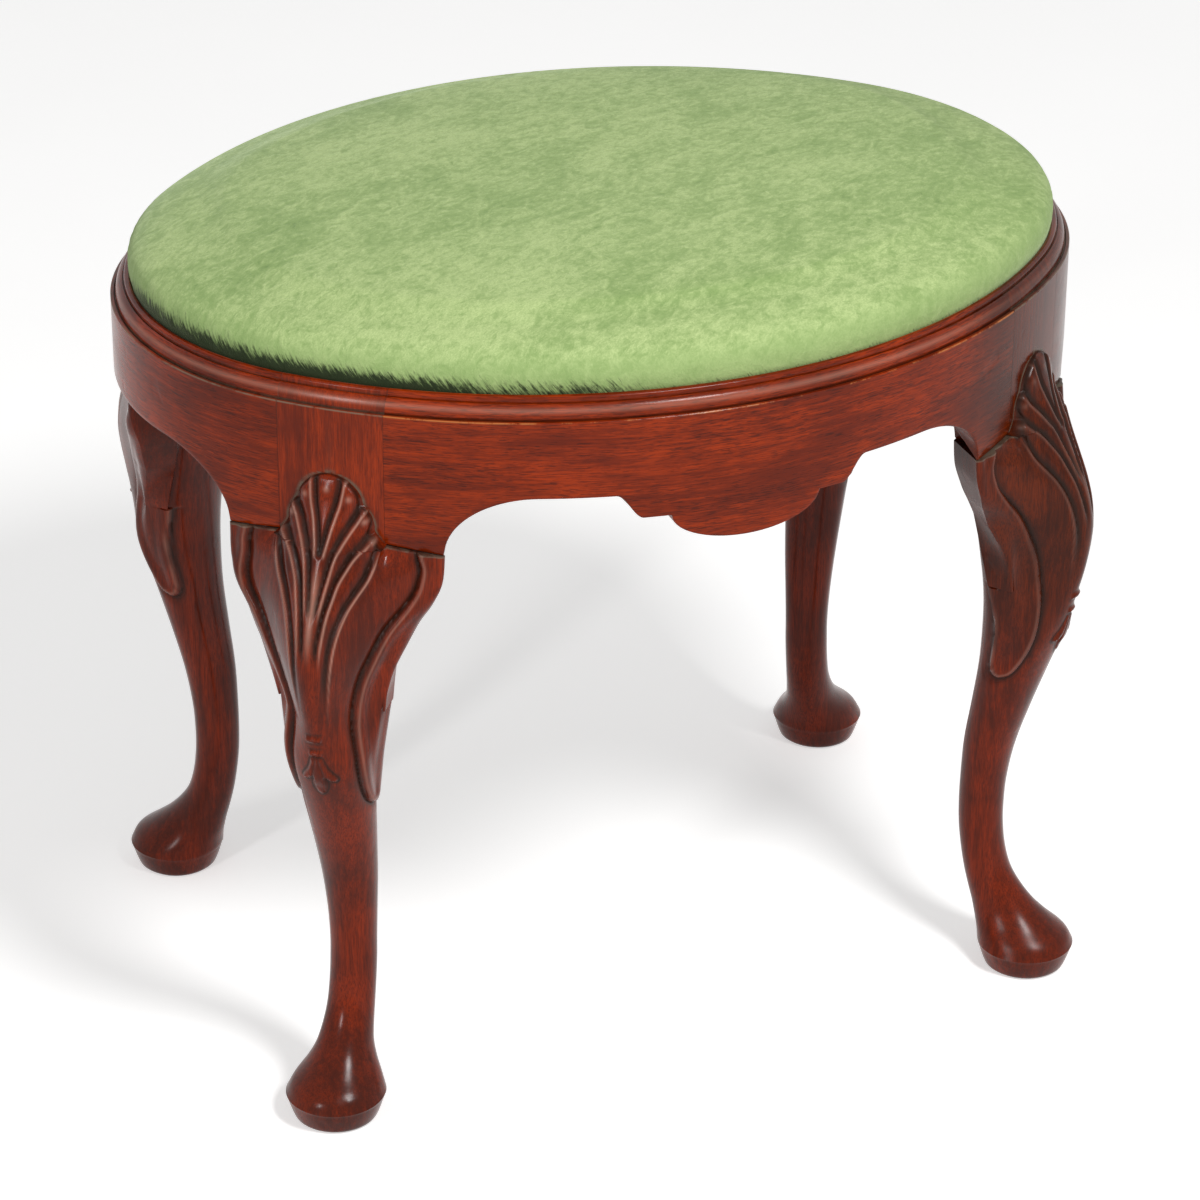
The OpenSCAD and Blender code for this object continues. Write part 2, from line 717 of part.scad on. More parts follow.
at_leg(-1, -1) leg();  // leg_front_left
at_leg(1, -1) leg();  // leg_front_right
at_leg(-1, 1) leg();  // leg_back_left
at_leg(1, 1) leg();  // leg_back_right
mirror([0, 1, 0]) side_rail();  // rail_front
side_rail();  // rail_back
mirror([1, 0, 0]) end_rail();  // rail_left
end_rail();  // rail_right
at_leg(-1, -1) knee_block(1);  // knee_block_front_left_front
at_leg(-1, -1) knee_block(-1);  // knee_block_front_left_end
at_leg(1, -1) knee_block(1);  // knee_block_front_right_front
at_leg(1, -1) knee_block(-1);  // knee_block_front_right_end
at_leg(-1, 1) knee_block(1);  // knee_block_back_left_back
at_leg(-1, 1) knee_block(-1);  // knee_block_back_left_end
at_leg(1, 1) knee_block(1);  // knee_block_back_right_back
at_leg(1, 1) knee_block(-1);  // knee_block_back_right_end
at_leg(-1, -1) dowels();  // dowels_front_left
at_leg(1, -1) dowels();  // dowels_front_right
at_leg(-1, 1) dowels();  // dowels_back_left
at_leg(1, 1) dowels();  // dowels_back_right
at_leg(-1, -1) corner_block();  // corner_block_front_left
at_leg(1, -1) corner_block();  // corner_block_front_right
at_leg(-1, 1) corner_block();  // corner_block_back_left
at_leg(1, 1) corner_block();  // corner_block_back_right
for (sx = [-1, 1], sy = [-1, 1]) at_leg(sx, sy) corner_screws_at() corner_block_screw();  // corner_block_screws
seat_board();
seat_foam();
seat_cover();
dust_cover();
dust_cover_staples();
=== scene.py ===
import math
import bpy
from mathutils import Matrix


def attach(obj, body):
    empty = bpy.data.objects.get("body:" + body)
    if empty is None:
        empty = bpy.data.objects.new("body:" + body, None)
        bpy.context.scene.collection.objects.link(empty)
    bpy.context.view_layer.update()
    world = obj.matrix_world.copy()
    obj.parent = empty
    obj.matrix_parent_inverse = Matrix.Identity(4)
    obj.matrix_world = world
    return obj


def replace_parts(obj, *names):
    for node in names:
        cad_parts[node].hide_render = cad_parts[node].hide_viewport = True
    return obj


bl_info = {
    "name": "Vanity Bench",
    "version": (1, 0, 0),
    "blender": (4, 5, 0),
    "location": "View3D > Sidebar > Vanity Bench",
    "description": "Carved mahogany legs, moulded rails and a crushed velvet seat for an oval vanity bench",
    "category": "Add Mesh",
}

import bpy
import numpy as np
from mathutils import Matrix, Vector

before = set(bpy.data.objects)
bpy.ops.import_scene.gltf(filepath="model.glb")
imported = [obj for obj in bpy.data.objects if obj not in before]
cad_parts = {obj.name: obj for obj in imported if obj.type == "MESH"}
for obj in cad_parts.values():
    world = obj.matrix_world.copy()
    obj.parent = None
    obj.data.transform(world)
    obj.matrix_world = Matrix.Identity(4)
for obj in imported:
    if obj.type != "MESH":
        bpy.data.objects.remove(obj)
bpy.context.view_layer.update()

# Shape of the frame, in millimetres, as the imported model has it
MM = 0.001
HALF_LEN, HALF_DEP = 280.0, 217.0
ARC_TURN = math.radians(44.2)
FACE_TOP, KNEE_TOP, RAIL_LOW = 436.0, 360.0, 391.0
RAIL_T, POST_HALF, POST_D = 26.0, 30.0, 36.0
JOINT_GAP = 0.1
STEP_W, QUIRK, OVOLO_W, OVOLO_H = 2.2, 0.7, 4.4, 8.2
FILLET_W, BEAD_H, BEAD_W, WELL_DEEP = 0.5, 3.4, 3.5, 14.0
RIM_W = STEP_W + QUIRK + OVOLO_W + FILLET_W + BEAD_W
RIM_TOP = FACE_TOP + OVOLO_H + BEAD_H
LEDGE_Z = RIM_TOP - WELL_DEEP
END_C = (HALF_LEN - HALF_DEP) / (1 + math.tan(ARC_TURN) - 1 / math.cos(ARC_TURN))
END_R = HALF_LEN - END_C
SIDE_C = END_C * math.tan(ARC_TURN)
SIDE_R = HALF_DEP + SIDE_C
TURN_IN = math.asin(POST_HALF / SIDE_R)
LEG_TURN = ARC_TURN + TURN_IN
POST_MID = (SIDE_R * math.cos(LEG_TURN), SIDE_R * math.sin(LEG_TURN) - SIDE_C)
END_MID = ((SIDE_R - END_R) * math.cos(TURN_IN) - SIDE_R, -(SIDE_R - END_R) * math.sin(TURN_IN))
CORNERS = {"front_left": (-1, -1), "front_right": (1, -1), "back_left": (-1, 1), "back_right": (1, 1)}

# Camera, in millimetres and in pixels of a 1200 by 1200 image
IMAGE_W = 1200
CAMERA_FOCUS = 4528.0
CAMERA_PLACE = (-895.0, -2195.0, 1461.0)
CAMERA_RIGHT = (0.9265, -0.3762, 0.0052)
CAMERA_UP = (0.171, 0.4333, 0.8849)
CAMERA_BACK = (-0.3351, -0.819, 0.4658)

# Leg tables: height, front line, back line and half width, as shares of the way up
FOOT_SHARES = [
    (0, 0, 0, 0), (0.08, 0.075, 0.08, 0.22), (0.175, 0.29, 0.22, 0.58), (0.27, 0.5, 0.36, 0.82),
    (0.38, 0.69, 0.53, 0.93), (0.51, 0.85, 0.7, 0.985), (0.67, 0.945, 0.85, 1), (0.84, 0.99, 0.96, 1),
]
CALF_SHARES = [
    (0, 0, 0, 0), (0.1, 0.02, 0.04, 0.05), (0.23, 0.115, 0.25, 0.155), (0.37, 0.29, 0.8, 0.28),
    (0.51, 0.49, 1.3, 0.43), (0.64, 0.68, 1.5, 0.66), (0.77, 0.83, 1.55, 0.88), (0.88, 0.94, 1.4, 1),
]
KNEE_SHARES = [
    (0, 0, 0, 1), (0.23, 0.07, 0.28, 1), (0.46, 0.27, 0.6, 1), (0.69, 0.57, 0.86, 1),
    (0.85, 0.8, 0.97, 1), (1, 1, 1, 1),
]
# Knee block, tip to top: height, width past the post under a long rail and under an end rail, stand proud
# of the rail, back
BLOCK_SHARES = [
    (0, 0.03, 0.03, 1, 0.3), (0.12, 0.07, 0.17, 0.98, 0.4), (0.26, 0.18, 0.36, 0.97, 0.52),
    (0.39, 0.34, 0.54, 0.95, 0.64), (0.54, 0.54, 0.72, 0.85, 0.78), (0.68, 0.79, 0.89, 0.55, 0.9),
    (0.82, 0.96, 0.98, 0.2, 0.98), (1, 1, 1, 0, 1),
]
ANKLE_Z, KNEE_Z, BLOCK_TIP, SHELL_TOP = 100.0, 295.0, 262.0, 398.2
PAD_Z, FOOT_OUT = 15.0, 14.0
BROW_HALF, BROW_OUT, BLOCK_PROUD, BLOCK_OUT, SHELL_PROUD = 62.0, 18.0, 1.8, 7.5, 3.2
KNEE_OUT, BLOCK_FALL = 40.5, 4.0
ARCH_FOOT = KNEE_TOP - BLOCK_FALL

# Carved lines on the right half of the knee: distance round the knee from its middle, and height
WEDGE_LINE = [(7.5, 398), (7.0, 392), (5.8, 384), (4.2, 378), (2.5, 371), (0.8, 362), (0, 356)]
FIRST_RIB_LINE = [(20.5, 384), (18.6, 381), (15.2, 375), (11.8, 369), (8.6, 362.5), (6.3, 356), (4.8, 348),
                  (3.2, 339), (2, 331), (1, 322)]
SECOND_RIB_LINE = [(26, 369), (24.4, 367), (20.3, 361.5), (17.1, 357.5), (14.2, 352.5), (10.7, 345.5),
                   (8.7, 338), (6.6, 329), (5.3, 320), (4.3, 310), (3.8, 297)]
STEM_LINE = [(33, 362), (31.6, 360), (29.6, 355), (26.6, 346), (21.7, 338), (17.8, 331), (14.3, 321),
             (12, 310), (10.6, 298), (8.8, 280), (6.2, 257)]
BAND_LINE = [(54.7, 362), (55.6, 354), (56.3, 346), (55.8, 337), (52, 327), (45, 314), (38.5, 298),
             (31.3, 282), (26.3, 266), (23.4, 254), (22.7, 240), (22.7, 226), (23.3, 214), (25, 205),
             (28, 200.5), (33, 198.5), (38, 200.5), (42, 206), (45, 215), (48, 228), (53, 244), (60, 262)]
LOBE_ENDS = [(0, 391.5), (12.5, 387), (20.8, 374.5), (26.5, 364.5)]
SHELL_EDGE = [(31, 360), (29.4, 361), (26.3, 364.5), (24.3, 367.8), (24.2, 371), (22.8, 376), (20.4, 380),
              (18.6, 382.8), (17.6, 386), (15.2, 390), (12, 393.5), (8.6, 396.2), (4.6, 397.8), (0, 398.3)]
BELL_EDGE = [(0, 241), (3.4, 240), (4.6, 236), (6.6, 231.5), (9.4, 227.8), (10.6, 225.4), (8.6, 223.6),
             (5.6, 224.6), (3.6, 226.2), (4.4, 221), (2.8, 216), (0, 213.5)]


def mix(a, b, k):
    return a + (b - a) * k


def ease(x):
    x = np.clip(x, 0, 1)
    return x * x * (3 - 2 * x)


# Frame shape


def span_rows(shares, low, high):
    return [[mix(low[c], high[c], row[c]) for c in range(4)] for row in shares]


def at(rows, h, column):
    """Value of a column at height h, on a smooth curve through the table's rows."""
    last = len(rows) - 1
    i = max(k for k in range(last) if k == 0 or rows[k][0] <= h)
    before, low, high, after = rows[max(i - 1, 0)], rows[i], rows[i + 1], rows[min(i + 2, last)]
    width = high[0] - low[0]
    u = (h - low[0]) / width
    slope_low = (high[column] - before[column]) / (high[0] - before[0]) * width
    slope_high = (after[column] - low[column]) / (after[0] - low[0]) * width
    return ((2 * u ** 3 - 3 * u * u + 1) * low[column] + (u ** 3 - 2 * u * u + u) * slope_low
            + (3 * u * u - 2 * u ** 3) * high[column] + (u ** 3 - u * u) * slope_high)


LEG_ROWS = (
    span_rows(FOOT_SHARES, (PAD_Z, 42.5, -14.5, 28.5), (ANKLE_Z, -5.3, -31.9, 13.3))
    + span_rows(CALF_SHARES, (ANKLE_Z, -5.3, -31.9, 13.3), (KNEE_Z, KNEE_OUT, -25, POST_HALF - JOINT_GAP))
    + span_rows(KNEE_SHARES, (KNEE_Z, KNEE_OUT, -25, POST_HALF - JOINT_GAP),
                (KNEE_TOP, BROW_OUT, JOINT_GAP - POST_D, POST_HALF - JOINT_GAP))
)
BLOCK_ROWS = [
    (mix(BLOCK_TIP, KNEE_TOP, h), mix(POST_HALF, BROW_HALF, long), mix(POST_HALF, BROW_HALF, end),
     mix(BLOCK_PROUD, BLOCK_OUT, out), RAIL_T * back)
    for h, long, end, out, back in BLOCK_SHARES
]


def face(t, off=0.0):
    """Where the rails' outer face, moved out by off, lies in a leg's frame, at t from the leg's middle."""
    t = np.asarray(t, float)
    side = np.sqrt(np.maximum((SIDE_R + off) ** 2 - t * t, 0)) - SIDE_R
    end = END_MID[0] + np.sqrt(np.maximum((END_R + off) ** 2 - (t - END_MID[1]) ** 2, 0))
    return np.where(t > -(SIDE_R + off) * math.sin(TURN_IN), side, end)


def on_block(h, column):
    return at(BLOCK_ROWS, min(max(h, BLOCK_TIP), KNEE_TOP), column)


def knee_half(h, side):
    return on_block(h, 1 if side > 0 else 2)


def knee_front(h, t):
    """Front of the knee: a bell from its crest to the knee blocks' edge."""
    t = np.asarray(t, float)
    long, end = knee_half(h, 1), knee_half(h, -1)
    half = np.where(t < 0, end, long)
    edge = np.where(t < 0, face(-end), face(long)) + on_block(h, 3)
    bell = (1 + np.cos(np.pi * np.minimum(np.abs(t) / half, 1))) / 2
    front = edge + (at(LEG_ROWS, h, 1) - edge) * bell
    # The brow rolls back to the rail beside the shell
    ledge = front - face(t) - BLOCK_PROUD
    roll = ease((h - 344) / (KNEE_TOP - 344)) ** 2 * ease((np.abs(t) - 27) / 6)
    return front - np.maximum(ledge, 0) * roll


def leg_front(h, t, half):
    front, back = at(LEG_ROWS, h, 1), at(LEG_ROWS, h, 2)
    middle = (front + back) / 2
    rounded = middle + (front - middle) * np.sqrt(np.maximum(1 - t * t / half / half, 0))
    knee = ease((h - mix(ANKLE_Z, KNEE_Z, 0.62)) / (KNEE_Z - ANKLE_Z) / 0.26)
    return mix(rounded, knee_front(h, t), knee)


def leg_to_world(points, corner):
    """Points of a leg's frame, X outward and Y along the rails to the long side, in the bench's frame."""
    sx, sy = CORNERS[corner]
    c, s = math.cos(LEG_TURN), math.sin(LEG_TURN)
    out = np.empty_like(points)
    out[..., 0] = sx * (POST_MID[0] + points[..., 0] * c - points[..., 1] * s)
    out[..., 1] = sy * (POST_MID[1] + points[..., 0] * s + points[..., 1] * c)
    out[..., 2] = points[..., 2]
    return out


# Meshes


def store(mesh, name, values, kind="FLOAT"):
    """Stores a value, or a vector, at each point of a mesh."""
    key = "value" if kind == "FLOAT" else "vector"
    mesh.attributes.new(name, kind, "POINT").data.foreach_set(key, values.astype(np.float32).ravel())


def new_piece(name, parts, body, smooth_angle=math.radians(32), flip=False):
    """One object from several closed skins: each a grid of points in millimetres and its masks."""
    points, faces, masks = [], [], {}
    start = 0
    for grid, shades, caps in parts:
        rows, sides = grid.shape[:2]
        index = start + np.arange(rows * sides).reshape(rows, sides)
        across = np.roll(index, -1, axis=1)
        quads = np.stack([index[:-1], across[:-1], across[1:], index[1:]], axis=-1).reshape(-1, 4)
        faces += quads.tolist()
        if caps:
            faces += [index[0][::-1].tolist(), index[-1].tolist()]
        points.append(grid.reshape(-1, 3))
        for key, values in shades.items():
            masks.setdefault(key, np.zeros(0))
            masks[key] = np.concatenate([masks[key], np.zeros(start - len(masks[key])), values.reshape(-1)])
        start += rows * sides
    if flip:
        faces = [f[::-1] for f in faces]
    mesh = bpy.data.meshes.new(name)
    mesh.from_pydata((np.concatenate(points) * MM).tolist(), [], faces)
    for key, values in masks.items():
        values = np.concatenate([values, np.zeros(start - len(values))])
        store(mesh, key, values)
    mesh.update()
    mesh.shade_smooth()
    mesh.set_sharp_from_angle(angle=smooth_angle)
    piece = bpy.data.objects.new(name, mesh)
    bpy.context.scene.collection.objects.link(piece)
    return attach(piece, body)


def open_normals(grid, outward):
    """Unit normals of an open grid of rows that climb; outward is whether its columns run with + Y."""
    along, up = np.gradient(grid, axis=1), np.gradient(grid, axis=0)
    normals = np.cross(along, up)
    normals /= np.maximum(np.linalg.norm(normals, axis=-1, keepdims=True), 1e-9)
    return normals if outward else -normals


# Carving


def smooth_line(points, spacing=0.5):
    """A smooth curve through the points, sampled at about the spacing."""
    points = np.array(points, float)
    ends = np.concatenate([[2 * points[0] - points[1]], points, [2 * points[-1] - points[-2]]])
    out = []
    for a, b, c, d in zip(ends[:-3], ends[1:-2], ends[2:-1], ends[3:]):
        steps = max(int(np.linalg.norm(c - b) / spacing), 1)
        u = (np.arange(steps) / steps)[:, None]
        out.append(0.5 * (2 * b + (c - a) * u + (2 * a - 5 * b + 4 * c - d) * u * u
                          + (3 * b - a - 3 * c + d) * u ** 3))
    return np.concatenate(out + [points[-1:]])


def nearest(line, u, h):
    """How far each place on the knee is from a line, and the share of the line where it is nearest."""
    flat = np.stack([np.abs(u).ravel(), h.ravel()], axis=1)
    gap = np.full(len(flat), 1e6)
    share = np.zeros(len(flat))
    low, high = line.min(axis=0) - 14, line.max(axis=0) + 14
    near = np.all((flat > low) & (flat < high), axis=1)
    for start in np.array_split(np.nonzero(near)[0], 24):
        distance = np.linalg.norm(flat[start, None] - line[None], axis=2)
        best = distance.argmin(axis=1)
        gap[start] = distance[np.arange(len(start)), best]
        share[start] = best / (len(line) - 1)
    return gap.reshape(u.shape), share.reshape(u.shape)


def outside_of(line, u, h):
    """True where a place lies further from the middle than a line that runs down the knee."""
    order = np.argsort(line[:, 1])
    return np.abs(u) > np.interp(h, line[order, 1], line[order, 0])


def inside_shape(edge, u, h):
    """Distance inside (+) or outside (-) a shape that is drawn by its right-hand edge, top to bottom."""
    line = smooth_line(edge, 0.4)
    gap, _ = nearest(line, u, h)
    flat_u, flat_h = np.abs(u).ravel(), h.ravel()
    crossings = np.zeros(len(flat_u), int)
    for (u0, h0), (u1, h1) in zip(line[:-1], line[1:]):
        if h0 == h1:
            continue
        span = (flat_h >= min(h0, h1)) & (flat_h < max(h0, h1))
        crossings += span & (flat_u < u0 + (flat_h - h0) * (u1 - u0) / (h1 - h0))
    return np.where((crossings % 2 == 1).reshape(u.shape), gap, -gap)


def carving(u, h, depth):
    """Relief of the knee in millimetres, how much dark glaze lies there and how much painted highlight lies
    on its lips, lobe ends and middle rib.
    """
    relief = np.zeros(u.shape)
    glaze_and_shade = np.zeros(u.shape)
    painted_highlight = np.zeros(u.shape)
    # Each line: how deep it is cut at its upper and lower end, how wide the slope is that leads down to it
    # from the rib inside it at either end, and over what share of its length it runs out
    ribs = [
        (WEDGE_LINE, 1.9, 1.5, 3.6, 1.4, 0.08),
        (FIRST_RIB_LINE, 2.6, 1.4, 8.0, 2.0, 0.22),
        (SECOND_RIB_LINE, 2.6, 1.3, 7.5, 2.2, 0.25),
        (STEM_LINE, 2.4, 0.9, 8.0, 3.5, 0.5),
    ]
    for points, top, foot, high_slope, low_slope, fade in ribs:
        line = smooth_line(points)
        gap, share = nearest(line, u, h)
        outer = outside_of(line, u, h)
        strong = mix(top, foot, share) * ease((1 - share) / fade)
        slope = mix(high_slope, low_slope, share ** 0.7)
        inner_side = np.clip(1 - gap / slope, 0, 1) ** 1.3
        # The next rib starts with a rounded lip that stands a little proud
        wall = np.clip(1 - gap / 2.4, 0, 1) ** 2 - 0.22 * np.exp(-((gap - 2.6) / 1.3) ** 2)
        relief -= depth * strong * np.where(outer, wall, inner_side)
        dark = np.exp(-(gap / np.where(outer, 1.4, mix(3.2, 1.5, share))) ** 4)
        glaze_and_shade = np.maximum(glaze_and_shade, dark * np.clip(strong / 1.1, 0, 1))
        # A painted highlight runs along each lip, outside the line
        lip = np.exp(-((gap - 2.5) / 0.6) ** 2) * outer * ease(share / 0.12)
        painted_highlight = np.maximum(painted_highlight, lip * np.clip(strong / 1.5, 0, 1))
    # Each lobe's end swells, with a painted highlight spot on it
    for middle_u, middle_h in LOBE_ENDS:
        away = np.hypot(np.abs(u) - middle_u, h - middle_h)
        relief += depth * 0.5 * np.exp(-(away / 3.6) ** 2)
        painted_highlight = np.maximum(painted_highlight, 0.7 * np.exp(-(away / 1.6) ** 2))
    # A painted highlight runs down the middle rib
    painted_highlight = np.maximum(painted_highlight, 0.8 * np.exp(-(u / 1.8) ** 2) * ease((h - 300) / 22) * ease((356 - h) / 14))
    band = smooth_line(BAND_LINE)
    wider = 1 + 0.17 * ease((h - BLOCK_TIP) / 20) * (1 - ease((h - 320) / 30))
    at_band = np.where(u < 0, u / wider, u)
    gap, share = nearest(band, at_band, h)
    outer = inside_band(band, at_band, h)
    groove = np.where(outer, np.clip(1 - gap / 1.6, 0, 1) ** 1.2, np.clip(1 - gap / 8.0, 0, 1) ** 2)
    roll = np.sqrt(np.clip(1 - (gap / 3.6 - 1) ** 2, 0, 1))
    raised = np.where(outer, np.where(gap < 3.6, roll, mix(1.0, 0.1, ease((gap - 3.6) / 7))), 0)
    relief += depth * (2.1 * raised - 1.4 * groove)
    glaze_and_shade = np.maximum(glaze_and_shade, np.exp(-(gap / np.where(outer, 1.0, 2.6)) ** 2))
    # A painted highlight runs along the band's roll
    painted_highlight = np.maximum(painted_highlight, 0.45 * outer * np.exp(-((gap - 2.8) / 0.8) ** 2))
    return relief, glaze_and_shade, painted_highlight


def inside_band(band, u, h):
    """True on the raised band: outside its front line and, on the leg's side, above its round end."""
    turn = int(np.argmin(band[:, 1]))
    front, back = band[:turn + 1], band[turn:]
    past = np.abs(u) > np.interp(h, front[::-1, 1], front[::-1, 0])
    short = np.abs(u) < np.interp(h, back[:, 1], back[:, 0], right=1e3)
    return past & short & (h > band[turn, 1])


def husk(u, h, depth):
    """The husk under the shell: two small bars and a hanging bell."""
    relief = np.zeros(u.shape)
    glaze_and_shade = np.zeros(u.shape)
    for middle, half in ((253.5, 5.0), (243.5, 4.2)):
        across = np.clip((half - np.abs(u)) / 1.4, 0, 1)
        bar = ease(1 - np.abs(h - middle) / 2.6) * ease(across)
        relief += depth * 1.5 * bar
        ring = np.exp(-((np.abs(h - middle) - 3.1) / 0.8) ** 2) * ease((half + 1 - np.abs(u)) / 1.5)
        glaze_and_shade = np.maximum(glaze_and_shade, 0.7 * ring)
    bell = inside_shape(BELL_EDGE, u, h)
    flare = mix(1.0, 2.0, ease((240 - h) / 14)) * mix(1, 0.45, ease((226 - h) / 8))
    relief += depth * flare * ease(bell / 1.8)
    fold = np.exp(-((np.abs(u) - mix(0.8, 3.2, ease((240 - h) / 14))) / 0.7) ** 2) * ease(bell / 1.2)
    relief -= depth * 0.5 * fold
    glaze_and_shade = np.maximum(glaze_and_shade, np.exp(-((bell + 0.5) / 0.9) ** 2))
    glaze_and_shade = np.maximum(glaze_and_shade, 0.5 * fold)
    return relief, glaze_and_shade


FRONT_COLUMNS, BACK_COLUMNS = 110, 34


def front_places(half):
    """Places across a front of that half width, closer together towards its edges."""
    k = np.linspace(-1, 1, FRONT_COLUMNS + 1)
    return half * (0.45 * k + 0.55 * np.sin(np.pi / 2 * k))


def leg_section(h):
    """One ring of a leg below its post: its front, and the rest of the way round."""
    half, back = at(LEG_ROWS, h, 3), at(LEG_ROWS, h, 2)
    square = ease((h - mix(ANKLE_Z, KNEE_Z, 0.6)) / (KNEE_TOP - ANKLE_Z) / 0.5)
    flat, power = mix(0.04, 0.7, square), mix(1, 0.6, square)
    t = front_places(half)
    front = np.stack([leg_front(h, t, half), t], axis=1)
    sides = leg_front(h, np.array([half, -half]), half)
    a = np.linspace(0, np.pi, BACK_COLUMNS + 1)
    hip = mix(np.where(np.cos(a) < 0, sides[1], sides[0]), back, flat)
    rear = np.stack([
        mix(hip, back, np.sin(a) ** power),
        half * np.sign(np.cos(a)) * np.abs(np.cos(a)) ** power,
    ], axis=1)
    return front, rear


SHELL_LINE = smooth_line(SHELL_EDGE, 0.3)


def shell_half(h):
    """Half the width of the shell at height h."""
    return np.interp(h, SHELL_LINE[:, 1], SHELL_LINE[:, 0])


def shell_section(h):
    """One ring of the shell over the post: its front within the lobed edge, and a back inside the post."""
    k = np.clip((h - KNEE_TOP) / (SHELL_TOP - KNEE_TOP), 0, 1)
    half = max(shell_half(h), 0.3)
    t = front_places(half)
    base = face(t) + mix(0, 2.4, ease(k * 5))
    base = mix(np.where(t < 0, face(-BROW_HALF), face(BROW_HALF)), base, ease(k * 3))
    crest = mix(BROW_OUT, SHELL_PROUD, k ** 0.8)
    bell = (1 + np.cos(np.pi * np.minimum(np.abs(t) / mix(BROW_HALF, 30, ease(k * 2.5)), 1))) / 2
    front = np.stack([base + (crest - base) * bell, t], axis=1)
    rounding = mix(0.8, 2.8, ease(k * 3))
    edge = np.minimum(half - np.abs(t), (SHELL_TOP - h) * 1.2 + 0.05)
    drop = rounding - np.sqrt(np.maximum(rounding ** 2 - np.maximum(rounding - edge, 0) ** 2, 0))
    front[:, 0] -= drop
    a = np.linspace(0, np.pi, BACK_COLUMNS + 1)
    inner = half + mix(0, 0.6, ease(k * 5))
    rear = np.stack([-1 - (RAIL_T - 4) / 2 * np.sin(a), inner * np.cos(a)], axis=1)
    return front, rear


def run_of(front):
    """Signed distance along a ring's front from its middle, + towards the long rail."""
    run = np.concatenate([[0], np.cumsum(np.linalg.norm(np.diff(front, axis=0), axis=1))])
    return run - run[FRONT_COLUMNS // 2]


def run_behind(front, rear):
    """The same distance going on round the back, from either end of the front."""
    ahead, behind = run_of(front)[-1], -run_of(front)[0]
    steps = np.linalg.norm(np.diff(rear, axis=0), axis=1)
    right = ahead + np.linalg.norm(front[-1] - rear[0]) + np.concatenate([[0], np.cumsum(steps)])
    left = behind + np.linalg.norm(front[0] - rear[-1]) + np.concatenate([[0], np.cumsum(steps[::-1])])[::-1]
    return np.where(right < left, right, -left)


def pad_rings():
    """Rings under the widest line of the pad foot: height and share of the pad's diameter."""
    sole = [(0, 0.72), (0, 0.76), (0.8, 0.8)]
    taper = [(PAD_Z * k, mix(0.8, 0.995, k ** 0.75)) for k in np.linspace(0.12, 0.96, 10)]
    return sole + taper


def leg_body():
    """The leg below its post, with the shell that rises on it: front and rear grids and their runs."""
    sections = []
    front, rear = leg_section(PAD_Z)
    for z, share in pad_rings():
        shrunk = [np.stack([FOOT_OUT + (part[:, 0] - FOOT_OUT) * share, part[:, 1] * share], axis=1)
                  for part in (front, rear)]
        sections.append((z, *shrunk))
    low = np.concatenate([np.arange(PAD_Z, 40, 1.5), np.arange(40, 192, 4.0)])
    for h in np.concatenate([low, np.arange(192, KNEE_TOP - 0.5, 1.0), [KNEE_TOP - 0.4]]):
        sections.append((h, *leg_section(h)))
    for h in np.concatenate([[KNEE_TOP], np.arange(KNEE_TOP + 0.6, SHELL_TOP - 2, 0.65),
                             SHELL_TOP - np.array([1.9, 1.4, 1.0, 0.65, 0.35, 0.15, 0.03])]):
        sections.append((h, *shell_section(h)))
    fronts = np.array([np.column_stack([front, np.full(len(front), h)]) for h, front, _ in sections])
    rears = np.array([np.column_stack([rear, np.full(len(rear), h)]) for h, _, rear in sections])
    runs = np.array([run_of(front) if h <= KNEE_TOP else front[:, 1] for h, front, _ in sections])
    behind = np.array([run_behind(front, rear) if h <= KNEE_TOP else np.full(len(rear), 90.0)
                       for h, front, rear in sections])
    return fronts, rears, runs, behind


def carved_leg(depth):
    front, rear, run, behind = leg_body()
    h = front[..., 2]
    relief, glaze_and_shade, painted_highlight = carving(run, h, depth)
    more, darker = husk(run, h, depth)
    away = ease((h - 190) / 8)
    relief = (relief + more) * away
    glaze_and_shade = np.maximum(glaze_and_shade, darker) * away + 0.3 * ease((75 - h) / 60)
    over_post = h > KNEE_TOP
    moved = front + open_normals(front, True) * relief[..., None]
    moved[..., 2] = np.where(h >= KNEE_TOP - 0.5, h, moved[..., 2])
    margin = np.where(over_post, shell_half(h) - np.abs(front[..., 1]), 9)
    # Painted shadow as a dark line along the shell's edge over the post, with glaze in the corner
    glaze_and_shade = np.maximum(glaze_and_shade, np.where(over_post, 0.9 * np.exp(-(margin / 0.8) ** 2), 0))
    glaze_and_shade = np.maximum(glaze_and_shade, (h >= KNEE_TOP - 0.5) * 0.95 * ease((np.abs(front[..., 1]) - 25) / 3))
    rear_relief, rear_glaze, rear_painted_highlight = carving(behind, rear[..., 2], depth)
    low = (rear[..., 2] < BLOCK_TIP) & (rear[..., 2] > 192)
    rear_moved = rear + open_normals(rear, True) * (rear_relief * low)[..., None]
    grid = np.concatenate([moved, rear_moved], axis=1)
    return grid, {
        "glaze_and_shade": np.concatenate([glaze_and_shade, rear_glaze * low], axis=1),
        "painted_highlight": np.concatenate([painted_highlight * away, rear_painted_highlight * low], axis=1),
    }


# Rim section


